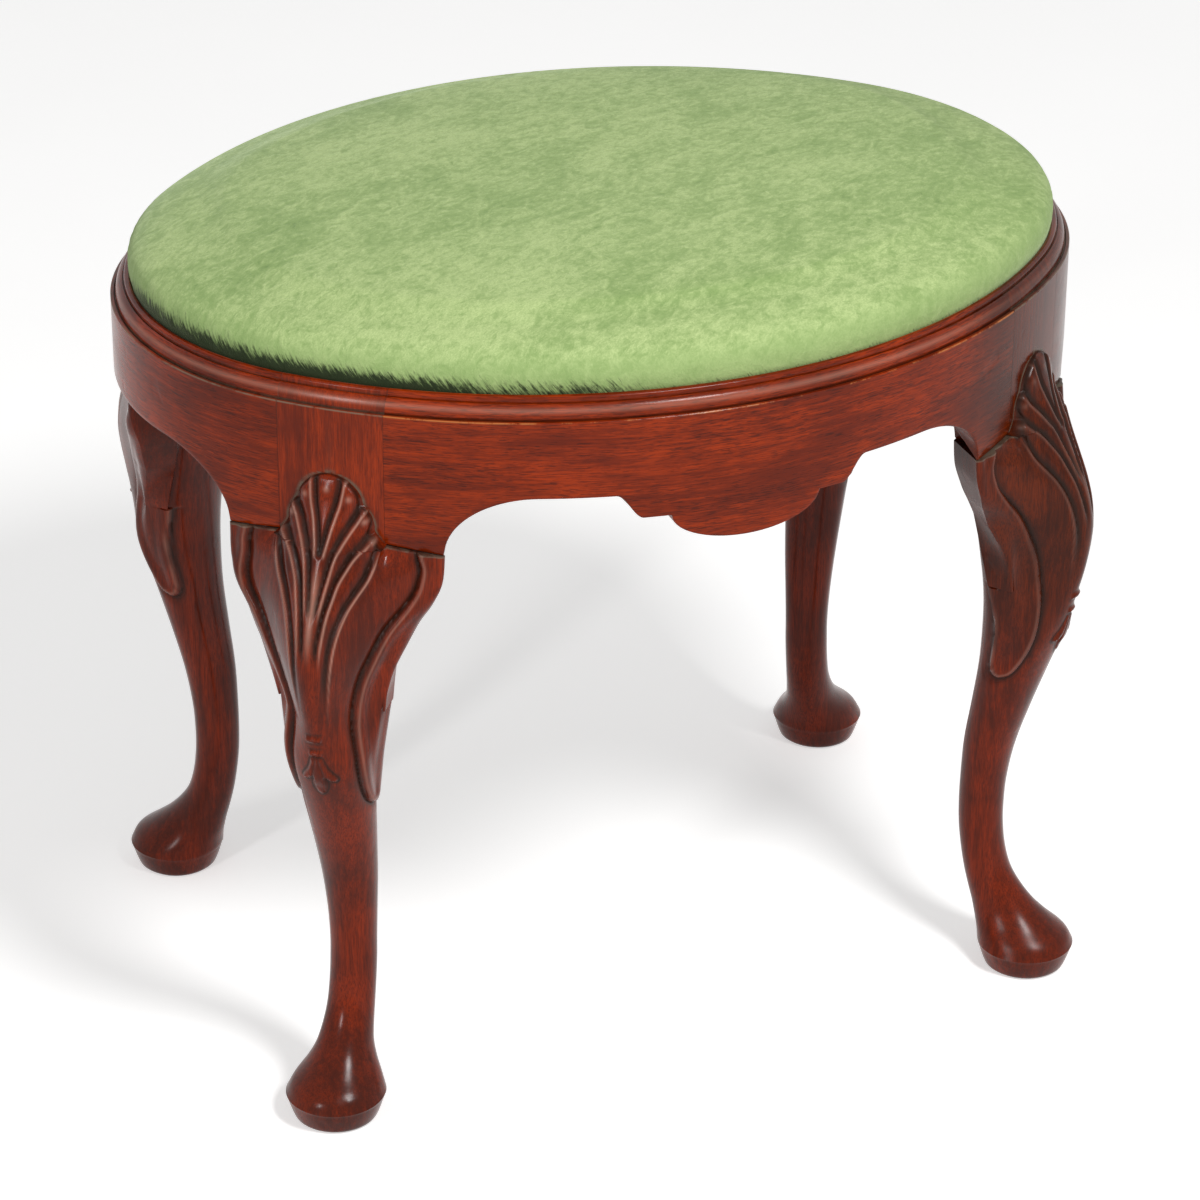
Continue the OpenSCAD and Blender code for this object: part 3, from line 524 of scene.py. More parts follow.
def rim_profile(thick, low_out, low_in, fine=()):
    """Section of the rim and rail, anticlockwise from its lower outer corner: inset from the face, height,
    how worn and how glazed it is there. fine adds heights on the face."""
    foot, root = STEP_W, STEP_W + QUIRK
    groove, bead = root + OVOLO_W, root + OVOLO_W + FILLET_W
    top = FACE_TOP + OVOLO_H
    rows = [(0, low_out + 1.6, 0, 0), (0.3, low_out + 0.5, 0, 0.1), (1.2, low_out, 0, 0.2)]
    rows += [(thick * k, mix(low_out, low_in, k), 0, 0.3) for k in (0.35, 0.7)]
    rows += [(thick - 1, low_in, 0, 0.3), (thick, low_in + 1, 0, 0.3)]
    rows += [(thick, mix(low_in, LEDGE_Z, 0.5), 0, 0.2), (thick, LEDGE_Z - 0.8, 0, 0)]
    rows += [(thick - 0.8, LEDGE_Z, 0, 0), (RIM_W + 1, LEDGE_Z, 0, 0.5)]
    rows += [(RIM_W, LEDGE_Z + 0.4, 0, 1), (RIM_W, RIM_TOP - 1.4, 0, 0.6), (RIM_W, RIM_TOP - 0.5, 0.2, 0.2)]
    rows += [(RIM_W - 0.5, RIM_TOP, 0.4, 0), (RIM_W - 1.1, RIM_TOP + 0.02, 0.2, 0)]
    rows += [
        (bead + BEAD_H / 2 - BEAD_H / 2 * math.cos(a), top + BEAD_H / 2 + BEAD_H / 2 * math.sin(a), 0, 0)
        for a in np.linspace(np.pi / 2, -0.2, 8)
    ]
    rows += [(bead, top + 0.3, 0, 0.3), (bead, top - QUIRK, 0, 0.6), (groove, top - QUIRK, 0, 0.6)]
    rows += [
        (groove - OVOLO_W * math.sin(a), FACE_TOP + QUIRK + (OVOLO_H - QUIRK) * math.cos(a), 0, 0)
        for a in np.linspace(0.06, np.pi / 2 - 0.06, 11)
    ]
    rows += [(root, FACE_TOP + QUIRK, 0, 0.6), (root, FACE_TOP - QUIRK, 0, 0.85)]
    rows += [(foot + 0.1, FACE_TOP - QUIRK, 0, 0.85)]
    rows += [(foot, FACE_TOP - 0.2, 0.1, 0.9), (foot - 0.3, FACE_TOP, 0.1, 0.4), (0.8, FACE_TOP, 0.1, 0)]
    rows += [(0.25, FACE_TOP - 0.06, 1, 0), (0, FACE_TOP - 0.4, 1, 0), (0, FACE_TOP - 1.0, 0, 0)]
    faces = fine or [mix(FACE_TOP, low_out, k) for k in (0.08, 0.2, 0.4, 0.6, 0.8, 0.93)]
    rows += [(0, z, 0, 0) for z in faces if z > low_out + 1.7]
    return rows[::-1]


def swept_rim(stations, at_angle, thick, lows, fine=()):
    """Sweeps the rim's section along an arc. at_angle gives the place for a station and an inset."""
    grid, worn, glaze_and_shade = [], [], []
    for k, station in enumerate(stations):
        out, inner = lows[k]
        rows = rim_profile(thick, out, inner, fine)
        grid.append([(*at_angle(station, inset), z) for inset, z, _, _ in rows])
        end = 0.3 if k in (0, len(stations) - 1) else 0.0
        worn.append([w * (1 - 2 * end) for _, _, w, _ in rows])
        glaze_and_shade.append([max(g, end) for _, _, _, g in rows])
    grid = np.array(grid)
    # Painted highlight along the upper ovolo, 0.5 at most
    crest = (np.array([inset for inset, _, _, _ in rows]) - STEP_W - 1.6) / 1.3
    crest = np.exp(-crest ** 2) * np.exp(-((grid[..., 2] - FACE_TOP - 5.2) / 1.6) ** 2)
    return grid, {"worn": np.array(worn), "glaze_and_shade": np.array(glaze_and_shade), "painted_highlight": 0.5 * crest}


def turned_grey(grid, shades):
    """The same masks for a piece whose worn line has gone grey with wax; the dark lines below the ovolo turn
    into a pale grey painted sheen line.
    """
    waxed = np.maximum(0.9 * shades["worn"], 0.5 * shades["glaze_and_shade"] * (grid[..., 2] > FACE_TOP - 2))
    shades["dust"] = np.maximum(shades.get("dust", 0), waxed)
    shades["worn"] = 0.15 * shades["worn"]
    return shades


def end_stations(count, lip=0.5, length=100.0):
    """Shares of the way along a piece, with a close pair at each end for its joint's dark line."""
    return [0.0, lip / length] + list(np.linspace(0, 1, count)[1:-1]) + [1 - lip / length, 1.0]


def leg_post():
    """The post between the rails, with its piece of the rim, and the dust and a painted shadow round the
    shell.
    """
    half = POST_HALF

    def place(station, inset):
        turn = math.asin(half / (SIDE_R - inset))
        angle = mix(turn, -turn, station)
        return (SIDE_R - inset) * math.cos(angle) - SIDE_R, (SIDE_R - inset) * math.sin(angle)

    stations = end_stations(70, 0.4, 2 * half)
    fine = [mix(SHELL_TOP + 4, KNEE_TOP, k) for k in np.linspace(0, 1, 40)]
    grid, shades = swept_rim(stations, place, POST_D, [(KNEE_TOP, KNEE_TOP)] * len(stations), fine)
    outside = np.hypot(np.maximum(np.abs(grid[..., 1]) - shell_half(grid[..., 2]), 0),
                       np.maximum(grid[..., 2] - SHELL_TOP, 0))
    ahead = grid[..., 0] > face(grid[..., 1]) - 0.5
    wide = mix(0.8, 1.5, ease((grid[..., 2] - SHELL_TOP + 14) / 12))
    shades["dust"] = ahead * np.exp(-((outside - wide) / wide) ** 2)
    # Painted shadow on the post round the shell, with glaze in the corner
    shades["glaze_and_shade"] = np.maximum(shades["glaze_and_shade"], ahead * 0.6 * np.exp(-(outside / 2.4) ** 2))
    shades["stain"] = np.ones(ahead.shape)
    return grid, turned_grey(grid, shades)


def along_rail(side, t):
    """Place of the rail's face at distance t from a leg's middle, along the axis that the rail spans."""
    return from_leg(float(face(side * t)), side * t)[0 if side > 0 else 1]


ARCH_W, BELLY_W, STEP_END, PENDANT_END = 46.0, 43.0, 58.0, 73.0


def arch_low(v, foot, post_at):
    """Lower edge of a rail over the arch that ends at foot: v is the distance from the rail's middle."""
    start = foot - ARCH_W
    if v <= start:
        return RAIL_LOW
    if v >= foot:
        return mix(ARCH_FOOT, KNEE_TOP, min((v - foot) / (post_at - foot), 1))
    return ARCH_FOOT + (RAIL_LOW - ARCH_FOOT) * math.sqrt(1 - ((v - start) / ARCH_W) ** 2)


def pendant_low(v, foot, post_at):
    """Lower edge of a long rail, with the pendant in its middle."""
    step_z, low_z = 377.0, 359.5
    if v < BELLY_W:
        return step_z - (step_z - low_z) * math.sqrt(1 - (v / BELLY_W) ** 2)
    if v < STEP_END:
        return step_z
    if v < PENDANT_END:
        wave = math.pi * (v - STEP_END) / (PENDANT_END - STEP_END)
        return mix(step_z, RAIL_LOW, (1 - math.cos(wave)) / 2)
    return arch_low(v, foot, post_at)


def edge_stations(reach, foot, marks):
    """Distances from a rail's middle where its section is drawn: close together where the edge turns."""
    arch = [foot - ARCH_W * (1 - math.sin(a)) for a in np.linspace(0, np.pi / 2, 20)]
    arch += [foot + 1.3 * k for k in range(1, 24)]
    places = list(np.arange(0, reach, 7.0)) + arch + marks + [foot + 0.3, reach - 0.5, reach]
    places = sorted(p for p in places if 0 <= p <= reach)
    kept = [places[0]]
    for p in places[1:]:
        if p - kept[-1] > 0.35:
            kept.append(p)
    if kept[-1] != reach:
        kept[-1] = reach
    return [-p for p in kept[:0:-1]] + kept


def bowed_rail(side, radius, turn, lower_edge, marks):
    """A rail over side 1, the back, or -1, the right end; turn gives half its angle at a radius."""
    foot, post_at = along_rail(side, BROW_HALF), along_rail(side, POST_HALF)
    reach = radius * math.sin(turn(radius))
    stations = edge_stations(reach, foot, marks)
    shares = [math.asin((v if side > 0 else -v) / radius) / turn(radius) for v in stations]

    def place(share, inset):
        r = radius - inset
        angle = share * turn(r)
        along, out = r * math.sin(angle), r * math.cos(angle)
        return (along, out - SIDE_C) if side > 0 else (END_C + out, along)

    span = 0 if side > 0 else 1
    lows = [
        tuple(lower_edge(abs(place(k, inset)[span]), foot, post_at) for inset in (0, RAIL_T))
        for k in shares
    ]
    return swept_rim(shares, place, RAIL_T, lows)


def rail_side():
    """A long rail at the back of the bench."""
    gap = POST_HALF + JOINT_GAP
    belly = [BELLY_W * math.sin(a) for a in np.linspace(0, np.pi / 2, 22)]
    marks = belly + [42.7, 43.3, 57.6, 58.4] + list(np.arange(58, 75, 1.25))
    return bowed_rail(1, SIDE_R, lambda r: math.pi / 2 - LEG_TURN - math.asin(gap / r), pendant_low, marks)


def rail_end():
    """An end rail at the right of the bench."""
    gap = POST_HALF + JOINT_GAP
    turn = lambda r: LEG_TURN + math.asin((-gap - END_MID[1]) / r)
    grid, shades = bowed_rail(-1, END_R, turn, arch_low, [])
    return grid, turned_grey(grid, shades)


def from_leg(s, t):
    """The same place seen from the middle of the bench, at the back right leg."""
    return (POST_MID[0] + s * math.cos(LEG_TURN) - t * math.sin(LEG_TURN),
            POST_MID[1] + s * math.sin(LEG_TURN) + t * math.cos(LEG_TURN))


def sawn_back(side, half, start, depth):
    """Where a knee block's outer side ends at the back: it is sawn in line with the rail's arch."""
    slope = 1 / math.tan(LEG_TURN) if side > 0 else math.tan(LEG_TURN)
    t = half
    for _ in range(5):
        t = half - slope * (start - float(face(side * t)) + depth)
    inner = POST_HALF + JOINT_GAP
    return max(t, inner + min((half - inner) / 4, 1))


def lowered(ring, h, side):
    """A knee block's ring with its heights: its top falls from the post to its outer end."""
    axis = 0 if side > 0 else 1
    start, end = along_rail(side, POST_HALF), along_rail(side, BROW_HALF)
    place = from_leg(np.minimum(ring[:, 0], face(ring[:, 1])), ring[:, 1])[axis]
    fall = np.maximum(BLOCK_FALL * (start - place) / (start - end), 0) + JOINT_GAP
    return np.column_stack([ring, h - fall * (h - BLOCK_TIP) / (KNEE_TOP - BLOCK_TIP)])


def knee_block(side, depth):
    """A knee block: side 1 under the long rail, -1 under the end rail."""
    inner = POST_HALF - JOINT_GAP
    heights = np.concatenate([np.arange(BLOCK_TIP, KNEE_TOP - 1, 1.1), [KNEE_TOP - 0.9, KNEE_TOP]])
    fronts, rears, runs = [], [], []
    for h in heights:
        half = max(knee_half(h, side), inner + 0.25)
        corner = min(mix(9.0, 3.0, ease((h - 312) / 30)), (half - inner) / 1.6)
        t = np.concatenate([np.linspace(inner, half - corner, 34)[:-1],
                            half - corner * (1 - np.sin(np.linspace(0, np.pi / 2, 10)))])
        s = knee_front(h, side * t)
        turned = np.maximum(t - (half - corner), 0)
        s = s - (corner - np.sqrt(np.maximum(corner ** 2 - turned ** 2, 0)))
        front = np.stack([s, t], axis=1)
        back = sawn_back(side, half, s[-1], on_block(h, 4))
        behind = float(face(side * back)) - on_block(h, 4)
        flank = np.stack([np.linspace(s[-1], behind, 8)[1:], np.linspace(half, back, 8)[1:]], axis=1)
        rear_t = np.linspace(back, inner, 5)[1:]
        rear = np.stack([face(side * rear_t) - on_block(h, 4), rear_t], axis=1)
        start = np.linspace(0, inner, 60)
        run = np.sum(np.hypot(np.diff(start), np.diff(knee_front(h, side * start))))
        steps = np.linalg.norm(np.diff(front, axis=0), axis=1)
        fronts.append(lowered(front * (1, side), h, side))
        rears.append(lowered(np.concatenate([flank, rear]) * (1, side), h, side))
        runs.append(side * (run + np.concatenate([[0], np.cumsum(steps)])))
    front, rear, run = np.array(fronts), np.array(rears), np.array(runs)
    h = np.broadcast_to(heights[:, None], run.shape)
    relief, glaze_and_shade, painted_highlight = carving(run, h, depth)
    moved = front + open_normals(front, side > 0) * relief[..., None]
    moved[..., 2] = mix(moved[..., 2], front[..., 2], ease((h - KNEE_TOP + 4) / 3))
    glaze_and_shade[-1] = np.maximum(glaze_and_shade[-1], 0.8)
    dust = np.zeros(h.shape)
    dust[-2:] = 0.6
    shades = {"glaze_and_shade": glaze_and_shade, "dust": dust, "painted_highlight": painted_highlight}
    whole = {key: np.concatenate([value, np.zeros(rear.shape[:2])], axis=1) for key, value in shades.items()}
    # Painted shade on the block's sawn flank and back, deepening upward from near the tip
    whole["glaze_and_shade"][:, front.shape[1]:] = 0.45 * ease((heights - BLOCK_TIP - 12) / 40)[:, None]
    return np.concatenate([moved, rear], axis=1), whole


# Shader nodes


class Shading:
    """Adds nodes to one material or node group; an input is a value or another node's output."""

    def __init__(self, tree):
        self.tree = tree

    def add(self, kind, inputs=None, **settings):
        made = self.tree.nodes.new(kind)
        for key, value in settings.items():
            setattr(made, key, value)
        for key, value in (inputs or {}).items():
            if isinstance(value, bpy.types.NodeSocket):
                self.tree.links.new(value, made.inputs[key])
            else:
                made.inputs[key].default_value = value
        return made

    def math(self, operation, a, b=0.0, c=0.0, clamp=False):
        return self.add("ShaderNodeMath", {0: a, 1: b, 2: c}, operation=operation, use_clamp=clamp).outputs[0]

    def blend(self, amount, a, b, kind="MIX"):
        made = self.add("ShaderNodeMix", {0: amount, 6: a, 7: b}, data_type="RGBA", blend_type=kind)
        return made.outputs[2]

    def stretch(self, place, scale):
        return self.add("ShaderNodeMapping", {"Vector": place, "Scale": scale}).outputs[0]

    def noise(self, place, scale, detail=3.0, roughness=0.55, distortion=0.0):
        inputs = {"Vector": place, "Scale": scale, "Detail": detail, "Roughness": roughness}
        return self.add("ShaderNodeTexNoise", inputs | {"Distortion": distortion}).outputs["Fac"]

    def window(self, value, low, high, to_low=0.0, to_high=1.0):
        inputs = {"Value": value, "From Min": low, "From Max": high, "To Min": to_low, "To Max": to_high}
        return self.add("ShaderNodeMapRange", inputs, interpolation_type="SMOOTHSTEP").outputs[0]

    def total(self, *parts):
        """Sum of values, each multiplied by its weight."""
        whole = None
        for value, weight in parts:
            part = self.math("MULTIPLY", value, weight)
            whole = part if whole is None else self.math("ADD", whole, part)
        return whole

    def link(self, value, socket):
        self.tree.links.new(value, socket)

    def seen(self):
        """1 for the rays that show the background itself, 0 for those that light the bench."""
        rays = self.add("ShaderNodeLightPath").outputs
        direct = self.math("MAXIMUM", rays["Is Camera Ray"], rays["Is Transmission Ray"])
        return self.math("MAXIMUM", direct, rays["Is Glossy Ray"])

    def mask(self, name):
        return self.add("ShaderNodeAttribute", attribute_name=name).outputs["Fac"]

    def bump(self, height, strength, distance, under=None):
        inputs = {"Height": height, "Strength": strength, "Distance": distance}
        if under is not None:
            inputs["Normal"] = under
        return self.add("ShaderNodeBump", inputs).outputs[0]


def new_group(name, inputs, outputs):
    """An empty shader node group with its sockets, and its two ends."""
    group = bpy.data.node_groups.new(name, "ShaderNodeTree")
    for direction, sockets in (("INPUT", inputs), ("OUTPUT", outputs)):
        for label, kind, *value in sockets:
            socket = group.interface.new_socket(name=label, in_out=direction, socket_type="NodeSocket" + kind)
            if value:
                socket.default_value = value[0]
    s = Shading(group)
    return s, s.add("NodeGroupInput").outputs, s.add("NodeGroupOutput").inputs


def timber_group():
    """Timber: straight grain with growth figure, fibre streaks and open pores, drawn along X."""
    s, given, out = new_group("Timber", [
        ("Place", "Vector"), ("Light", "Color"), ("Dark", "Color"), ("Pore Color", "Color"),
        ("Figure", "Float", 1.0), ("Pores", "Float", 1.0),
    ], [("Color", "Color"), ("Pores", "Float"), ("Height", "Float")])
    place = given["Place"]
    broad = s.noise(s.stretch(place, (6, 34, 34)), 1, 4, 0.6, 0.6)
    streak = s.noise(s.stretch(place, (22, 330, 330)), 1, 5, 0.7, 0.2)
    bent = s.noise(s.stretch(place, (22, 40, 40)), 1, 2, 0.5)
    bent = {0: place, 1: s.math("MULTIPLY", bent, 0.004)}
    bent = s.add("ShaderNodeVectorMath", bent, operation="ADD").outputs[0]
    fibre = s.noise(s.stretch(bent, (70, 1500, 1500)), 1, 3, 0.7)
    cloud = s.noise(place, 26, 3, 0.55)
    figure = s.total((broad, 0.3), (streak, 0.4), (cloud, 0.3))
    spread = s.math("MULTIPLY", s.math("SUBTRACT", figure, 0.5), given["Figure"])
    tone = s.window(spread, -0.1, 0.1)
    pore = s.noise(s.stretch(bent, (130, 1700, 1700)), 1, 2, 0.5)
    crowd = s.noise(s.stretch(place, (14, 70, 70)), 1, 3, 0.55)
    limit = s.window(crowd, 0.3, 0.7, 0.6, 0.5)
    pore = s.math("MULTIPLY", s.math("SUBTRACT", pore, limit), 12, clamp=True)
    pore = s.math("MULTIPLY", pore, given["Pores"], clamp=True)
    color = s.blend(tone, given["Dark"], given["Light"])
    color = s.blend(s.window(fibre, 0.42, 0.66, 0, 0.8), color, given["Dark"])
    s.link(s.blend(s.math("MULTIPLY", pore, 0.6), color, given["Pore Color"]), out["Color"])
    s.link(pore, out["Pores"])
    s.link(s.math("SUBTRACT", s.math("MULTIPLY", fibre, 0.3), pore), out["Height"])
    return s.tree


def old_polish_group():
    """Old polish: dark glaze in the hollows with some painted shade, pale wood where an edge is worn through,
    wax dust with a painted sheen line, and scuffs.
    """
    s, given, out = new_group("Old Polish", [
        ("Place", "Vector"), ("Color", "Color"), ("Glaze", "Float"), ("Worn", "Float"), ("Dust", "Float"),
        ("Glaze Color", "Color"), ("Worn Color", "Color"), ("Dust Color", "Color"), ("Gloss", "Float", 0.3),
    ], [("Color", "Color"), ("Roughness", "Float"), ("Height", "Float")])
    patch = s.noise(given["Place"], 90, 4, 0.65)
    fine = s.noise(given["Place"], 900, 3, 0.6)
    glaze_and_shade = s.math("MULTIPLY", given["Glaze"], s.window(patch, 0.3, 0.62, 0.85, 1.0), clamp=True)
    color = s.blend(s.math("MULTIPLY", glaze_and_shade, 0.96), given["Color"], given["Glaze Color"])
    rare = s.noise(given["Place"], 9, 2, 0.5)
    broken = s.window(s.total((patch, 0.6), (rare, 0.6), (fine, 0.2)), 0.66, 0.78)
    worn = s.math("MULTIPLY", given["Worn"], broken, clamp=True)
    color = s.blend(s.math("MULTIPLY", worn, 0.85), color, given["Worn Color"])
    dust = s.math("MULTIPLY", given["Dust"], s.window(patch, 0.3, 0.55), clamp=True)
    color = s.blend(s.math("MULTIPLY", dust, 0.8), color, given["Dust Color"])
    smear = s.noise(s.stretch(given["Place"], (14, 14, 26)), 1, 4, 0.6)
    rough = s.math("ADD", given["Gloss"], s.window(smear, 0.3, 0.75, -0.04, 0.06))
    rough = s.math("ADD", rough, s.math("MULTIPLY", s.math("ADD", glaze_and_shade, dust), 0.22), clamp=True)
    dents = s.window(s.noise(given["Place"], 60, 2, 0.5), 0.62, 0.78)
    s.link(color, out["Color"])
    s.link(rough, out["Roughness"])
    s.link(s.math("MULTIPLY", dents, -1), out["Height"])
    return s.tree


def weave_group():
    """Weave: a plain over-and-under cloth seen along Z."""
    s, given, out = new_group("Weave", [("Place", "Vector"), ("Thread", "Float", 0.6)],
                              [("Height", "Float"), ("Gaps", "Float")])
    turns = s.math("DIVIDE", 6283.2, given["Thread"])
    axes = s.add("ShaderNodeSeparateXYZ", {0: given["Place"]}).outputs
    warp = s.math("SINE", s.math("MULTIPLY", axes[0], turns))
    weft = s.math("SINE", s.math("MULTIPLY", axes[1], turns))
    over = s.math("MULTIPLY", warp, weft)
    gaps = s.math("SUBTRACT", 1, s.math("MAXIMUM", s.math("ABSOLUTE", warp), s.math("ABSOLUTE", weft)))
    s.link(s.math("MULTIPLY", over, 0.5), out["Height"])
    s.link(gaps, out["Gaps"])
    return s.tree


GROUPS = {"Timber": timber_group, "Old Polish": old_polish_group, "Weave": weave_group}


def new_material(name):
    """A material with only its output and Principled shader, ready for nodes."""
    made = bpy.data.materials.new(name)
    made.use_nodes = True
    made.node_tree.nodes.clear()
    s = Shading(made.node_tree)
    shader = s.add("ShaderNodeBsdfPrincipled")
    s.add("ShaderNodeOutputMaterial", {"Surface": shader.outputs[0]})
    return made, s, shader


def use_group(s, name, inputs):
    group = bpy.data.node_groups.get(name) or GROUPS[name]()
    return s.add("ShaderNodeGroup", inputs, node_tree=group).outputs


def rgba(color):
    return (*color[:3], 1.0)


def polished_wood(name, light, dark, figure, pores, gloss):
    """Mahogany with its polish, drawn in the mesh's grain attribute, whose X runs along the grain."""
    wood = bpy.context.scene.bench_wood
    made, s, shader = new_material(name)
    place = s.add("ShaderNodeAttribute", attribute_name="grain").outputs["Vector"]
    # Painted shade: the front right corner takes darker colours
    stain, painted_shade = s.mask("stain"), s.math("MULTIPLY", s.mask("painted_shade"), 0.75)
    light = s.blend(painted_shade, s.blend(stain, rgba(light), rgba(wood.rail_light)), rgba(wood.shaded_light_figure))
    dark = s.blend(painted_shade, s.blend(stain, rgba(dark), rgba(wood.rail_dark)), rgba(wood.shaded_dark_figure))
    timber = use_group(s, "Timber", {
        "Place": place, "Light": light, "Dark": dark,
        "Pore Color": rgba(wood.pore_color), "Figure": figure, "Pores": pores,
    })
    polish = use_group(s, "Old Polish", {
        "Place": place, "Color": timber["Color"], "Glaze": s.mask("glaze_and_shade"), "Worn": s.mask("worn"),
        "Dust": s.mask("dust"), "Glaze Color": rgba(wood.glaze_and_shade_color), "Worn Color": rgba(wood.worn_color),
        "Dust Color": rgba(wood.dust_color), "Gloss": gloss,
    })
    # Painted highlight: where the mask is set the colour is drawn pale, less on the front right corner's
    # painted shade
    painted_highlight = s.math("MULTIPLY", s.math("MULTIPLY", s.mask("painted_highlight"), s.math("SUBTRACT", 1, painted_shade)), 0.55)
    s.link(s.blend(painted_highlight, polish["Color"], rgba(wood.highlight_color)), shader.inputs["Base Color"])
    s.link(polish["Roughness"], shader.inputs["Roughness"])
    normal = s.bump(timber["Height"], 0.08, 0.0003)
    normal = s.bump(polish["Height"], 0.25, 0.0005, normal)
    s.link(normal, shader.inputs["Normal"])
    shader.inputs["Specular IOR Level"].default_value = 0.15
    return made


def crushed_velvet():
    velvet = bpy.context.scene.bench_velvet
    made, s, shader = new_material("crushed velvet")
    place = object_place(s)
    tilted = s.add("ShaderNodeMapping", {"Vector": place, "Rotation": (0, 0, math.radians(-24))}).outputs[0]
    crushed = s.noise(s.stretch(tilted, (55, 85, 60)), 1, 5, 0.7, 1.2)
    flecks = s.noise(s.stretch(tilted, (200, 320, 200)), 1, 4, 0.75, 0.6)
    fine = s.noise(s.stretch(tilted, (800, 1300, 800)), 1, 2, 0.7)
    sweep = s.noise(s.stretch(tilted, (8, 12, 8)), 1, 3, 0.5, 0.7)
    nap = s.total((crushed, 0.38), (flecks, 0.38), (sweep, 0.24))
    color = s.blend(s.window(nap, 0.4, 0.6), rgba(velvet.pile_mid), rgba(velvet.pile_light))
    color = s.blend(s.window(fine, 0.3, 0.7, 0.5, 0), color, rgba(velvet.pile_mid))
    color = s.blend(s.window(nap, 0.42, 0.32, 0, 0.5), color, rgba(velvet.pile_deep))
    # Painted shade: the cushion's steep sides are drawn darker than its top
    upward = upward_normal(s)
    color = s.blend(s.window(upward, 0.96, 0.3, 0, 0.6), color, rgba(velvet.pile_mid))
    strokes = s.add("ShaderNodeAttribute", attribute_name="brush").outputs["Vector"]
    strokes = s.noise(s.stretch(strokes, (560, 85, 1)), 1, 4, 0.7)
    # The dark band and the painted shade line at the rim take the shadow pile colour
    ragged = s.math("ADD", s.mask("dark_band_and_seam_shade"), s.math("MULTIPLY", s.math("SUBTRACT", strokes, 0.5), 2.0))
    ragged = s.math("ADD", ragged, s.math("MULTIPLY", s.math("SUBTRACT", flecks, 0.5), 0.9))
    turned = s.window(ragged, 0.28, 1.0, 0, 0.96)
    color = s.blend(turned, color, rgba(velvet.pile_shadow))
    s.link(color, shader.inputs["Base Color"])
    s.link(s.window(nap, 0.4, 0.62, 0.95, 0.6), shader.inputs["Roughness"])
    height = s.total((nap, 2.0), (fine, 0.5))
    s.link(s.bump(height, 0.5, 0.0012), shader.inputs["Normal"])
    shader.inputs["Specular IOR Level"].default_value = 0.1
    shader.inputs["Sheen Weight"].default_value = 0.45
    shader.inputs["Sheen Roughness"].default_value = 0.4
    shader.inputs["Sheen Tint"].default_value = (0.78, 0.9, 0.62, 1)
    return made


def object_place(s):
    return s.add("ShaderNodeTexCoord").outputs["Object"]


def upward_normal(s):
    normal = s.add("ShaderNodeNewGeometry").outputs["Normal"]
    return s.add("ShaderNodeSeparateXYZ", {0: normal}).outputs[2]


def pale_foam():
    made, s, shader = new_material("pale foam")
    place = object_place(s)
    cells = s.add("ShaderNodeTexVoronoi", {"Vector": place, "Scale": 900.0}).outputs["Distance"]
    tone = s.noise(place, 30, 3)
    colors = bpy.context.scene.bench_inner
    color = s.blend(s.window(tone, 0.3, 0.7), rgba(colors.foam_old), rgba(colors.foam_new))
    color = s.blend(s.window(cells, 0.3, 0.0, 0, 0.5), color, rgba(colors.foam_old))
    s.link(color, shader.inputs["Base Color"])
    s.link(s.window(cells, 0, 0.5, 1.0, 0.85), shader.inputs["Roughness"])
    s.link(s.bump(cells, 0.5, 0.0006), shader.inputs["Normal"])
    return made


def black_cambric():
    made, s, shader = new_material("black cambric")
    place = object_place(s)
    colors = bpy.context.scene.bench_inner
    cloth = use_group(s, "Weave", {"Place": place, "Thread": 0.9})
    lint = s.noise(place, 140, 4, 0.7)
    color = s.blend(s.window(lint, 0.52, 0.8, 0, 0.5), rgba(colors.cambric), rgba(colors.cambric_dust))
    color = s.blend(s.window(cloth["Gaps"], 0.1, 0.6, 0, 0.7), color, (0.002, 0.002, 0.002, 1))
    s.link(color, shader.inputs["Base Color"])
    s.link(s.window(lint, 0.3, 0.8, 0.8, 0.98), shader.inputs["Roughness"])
    s.link(s.bump(cloth["Height"], 0.6, 0.0003), shader.inputs["Normal"])
    shader.inputs["Sheen Weight"].default_value = 0.2
    return made


def bare_wood(name, light, dark, turn, pores=0.5):
    """Unpolished wood inside the bench; turn brings its grain onto the object's X."""
    inner = bpy.context.scene.bench_inner
    made, s, shader = new_material(name)
    place = object_place(s)
    place = s.add("ShaderNodeMapping", {"Vector": place, "Rotation": turn}).outputs[0]
    timber = use_group(s, "Timber", {
        "Place": place, "Light": rgba(light), "Dark": rgba(dark), "Pore Color": rgba(inner.grime),
        "Figure": 1.3, "Pores": pores,
    })
    stain = s.window(s.noise(place, 18, 4, 0.6), 0.5, 0.75, 0, 0.35)
    s.link(s.blend(stain, timber["Color"], rgba(inner.grime)), shader.inputs["Base Color"])
    s.link(s.window(timber["Pores"], 0, 1, 0.62, 0.85), shader.inputs["Roughness"])
    s.link(s.bump(timber["Height"], 0.35, 0.0004), shader.inputs["Normal"])
    return made


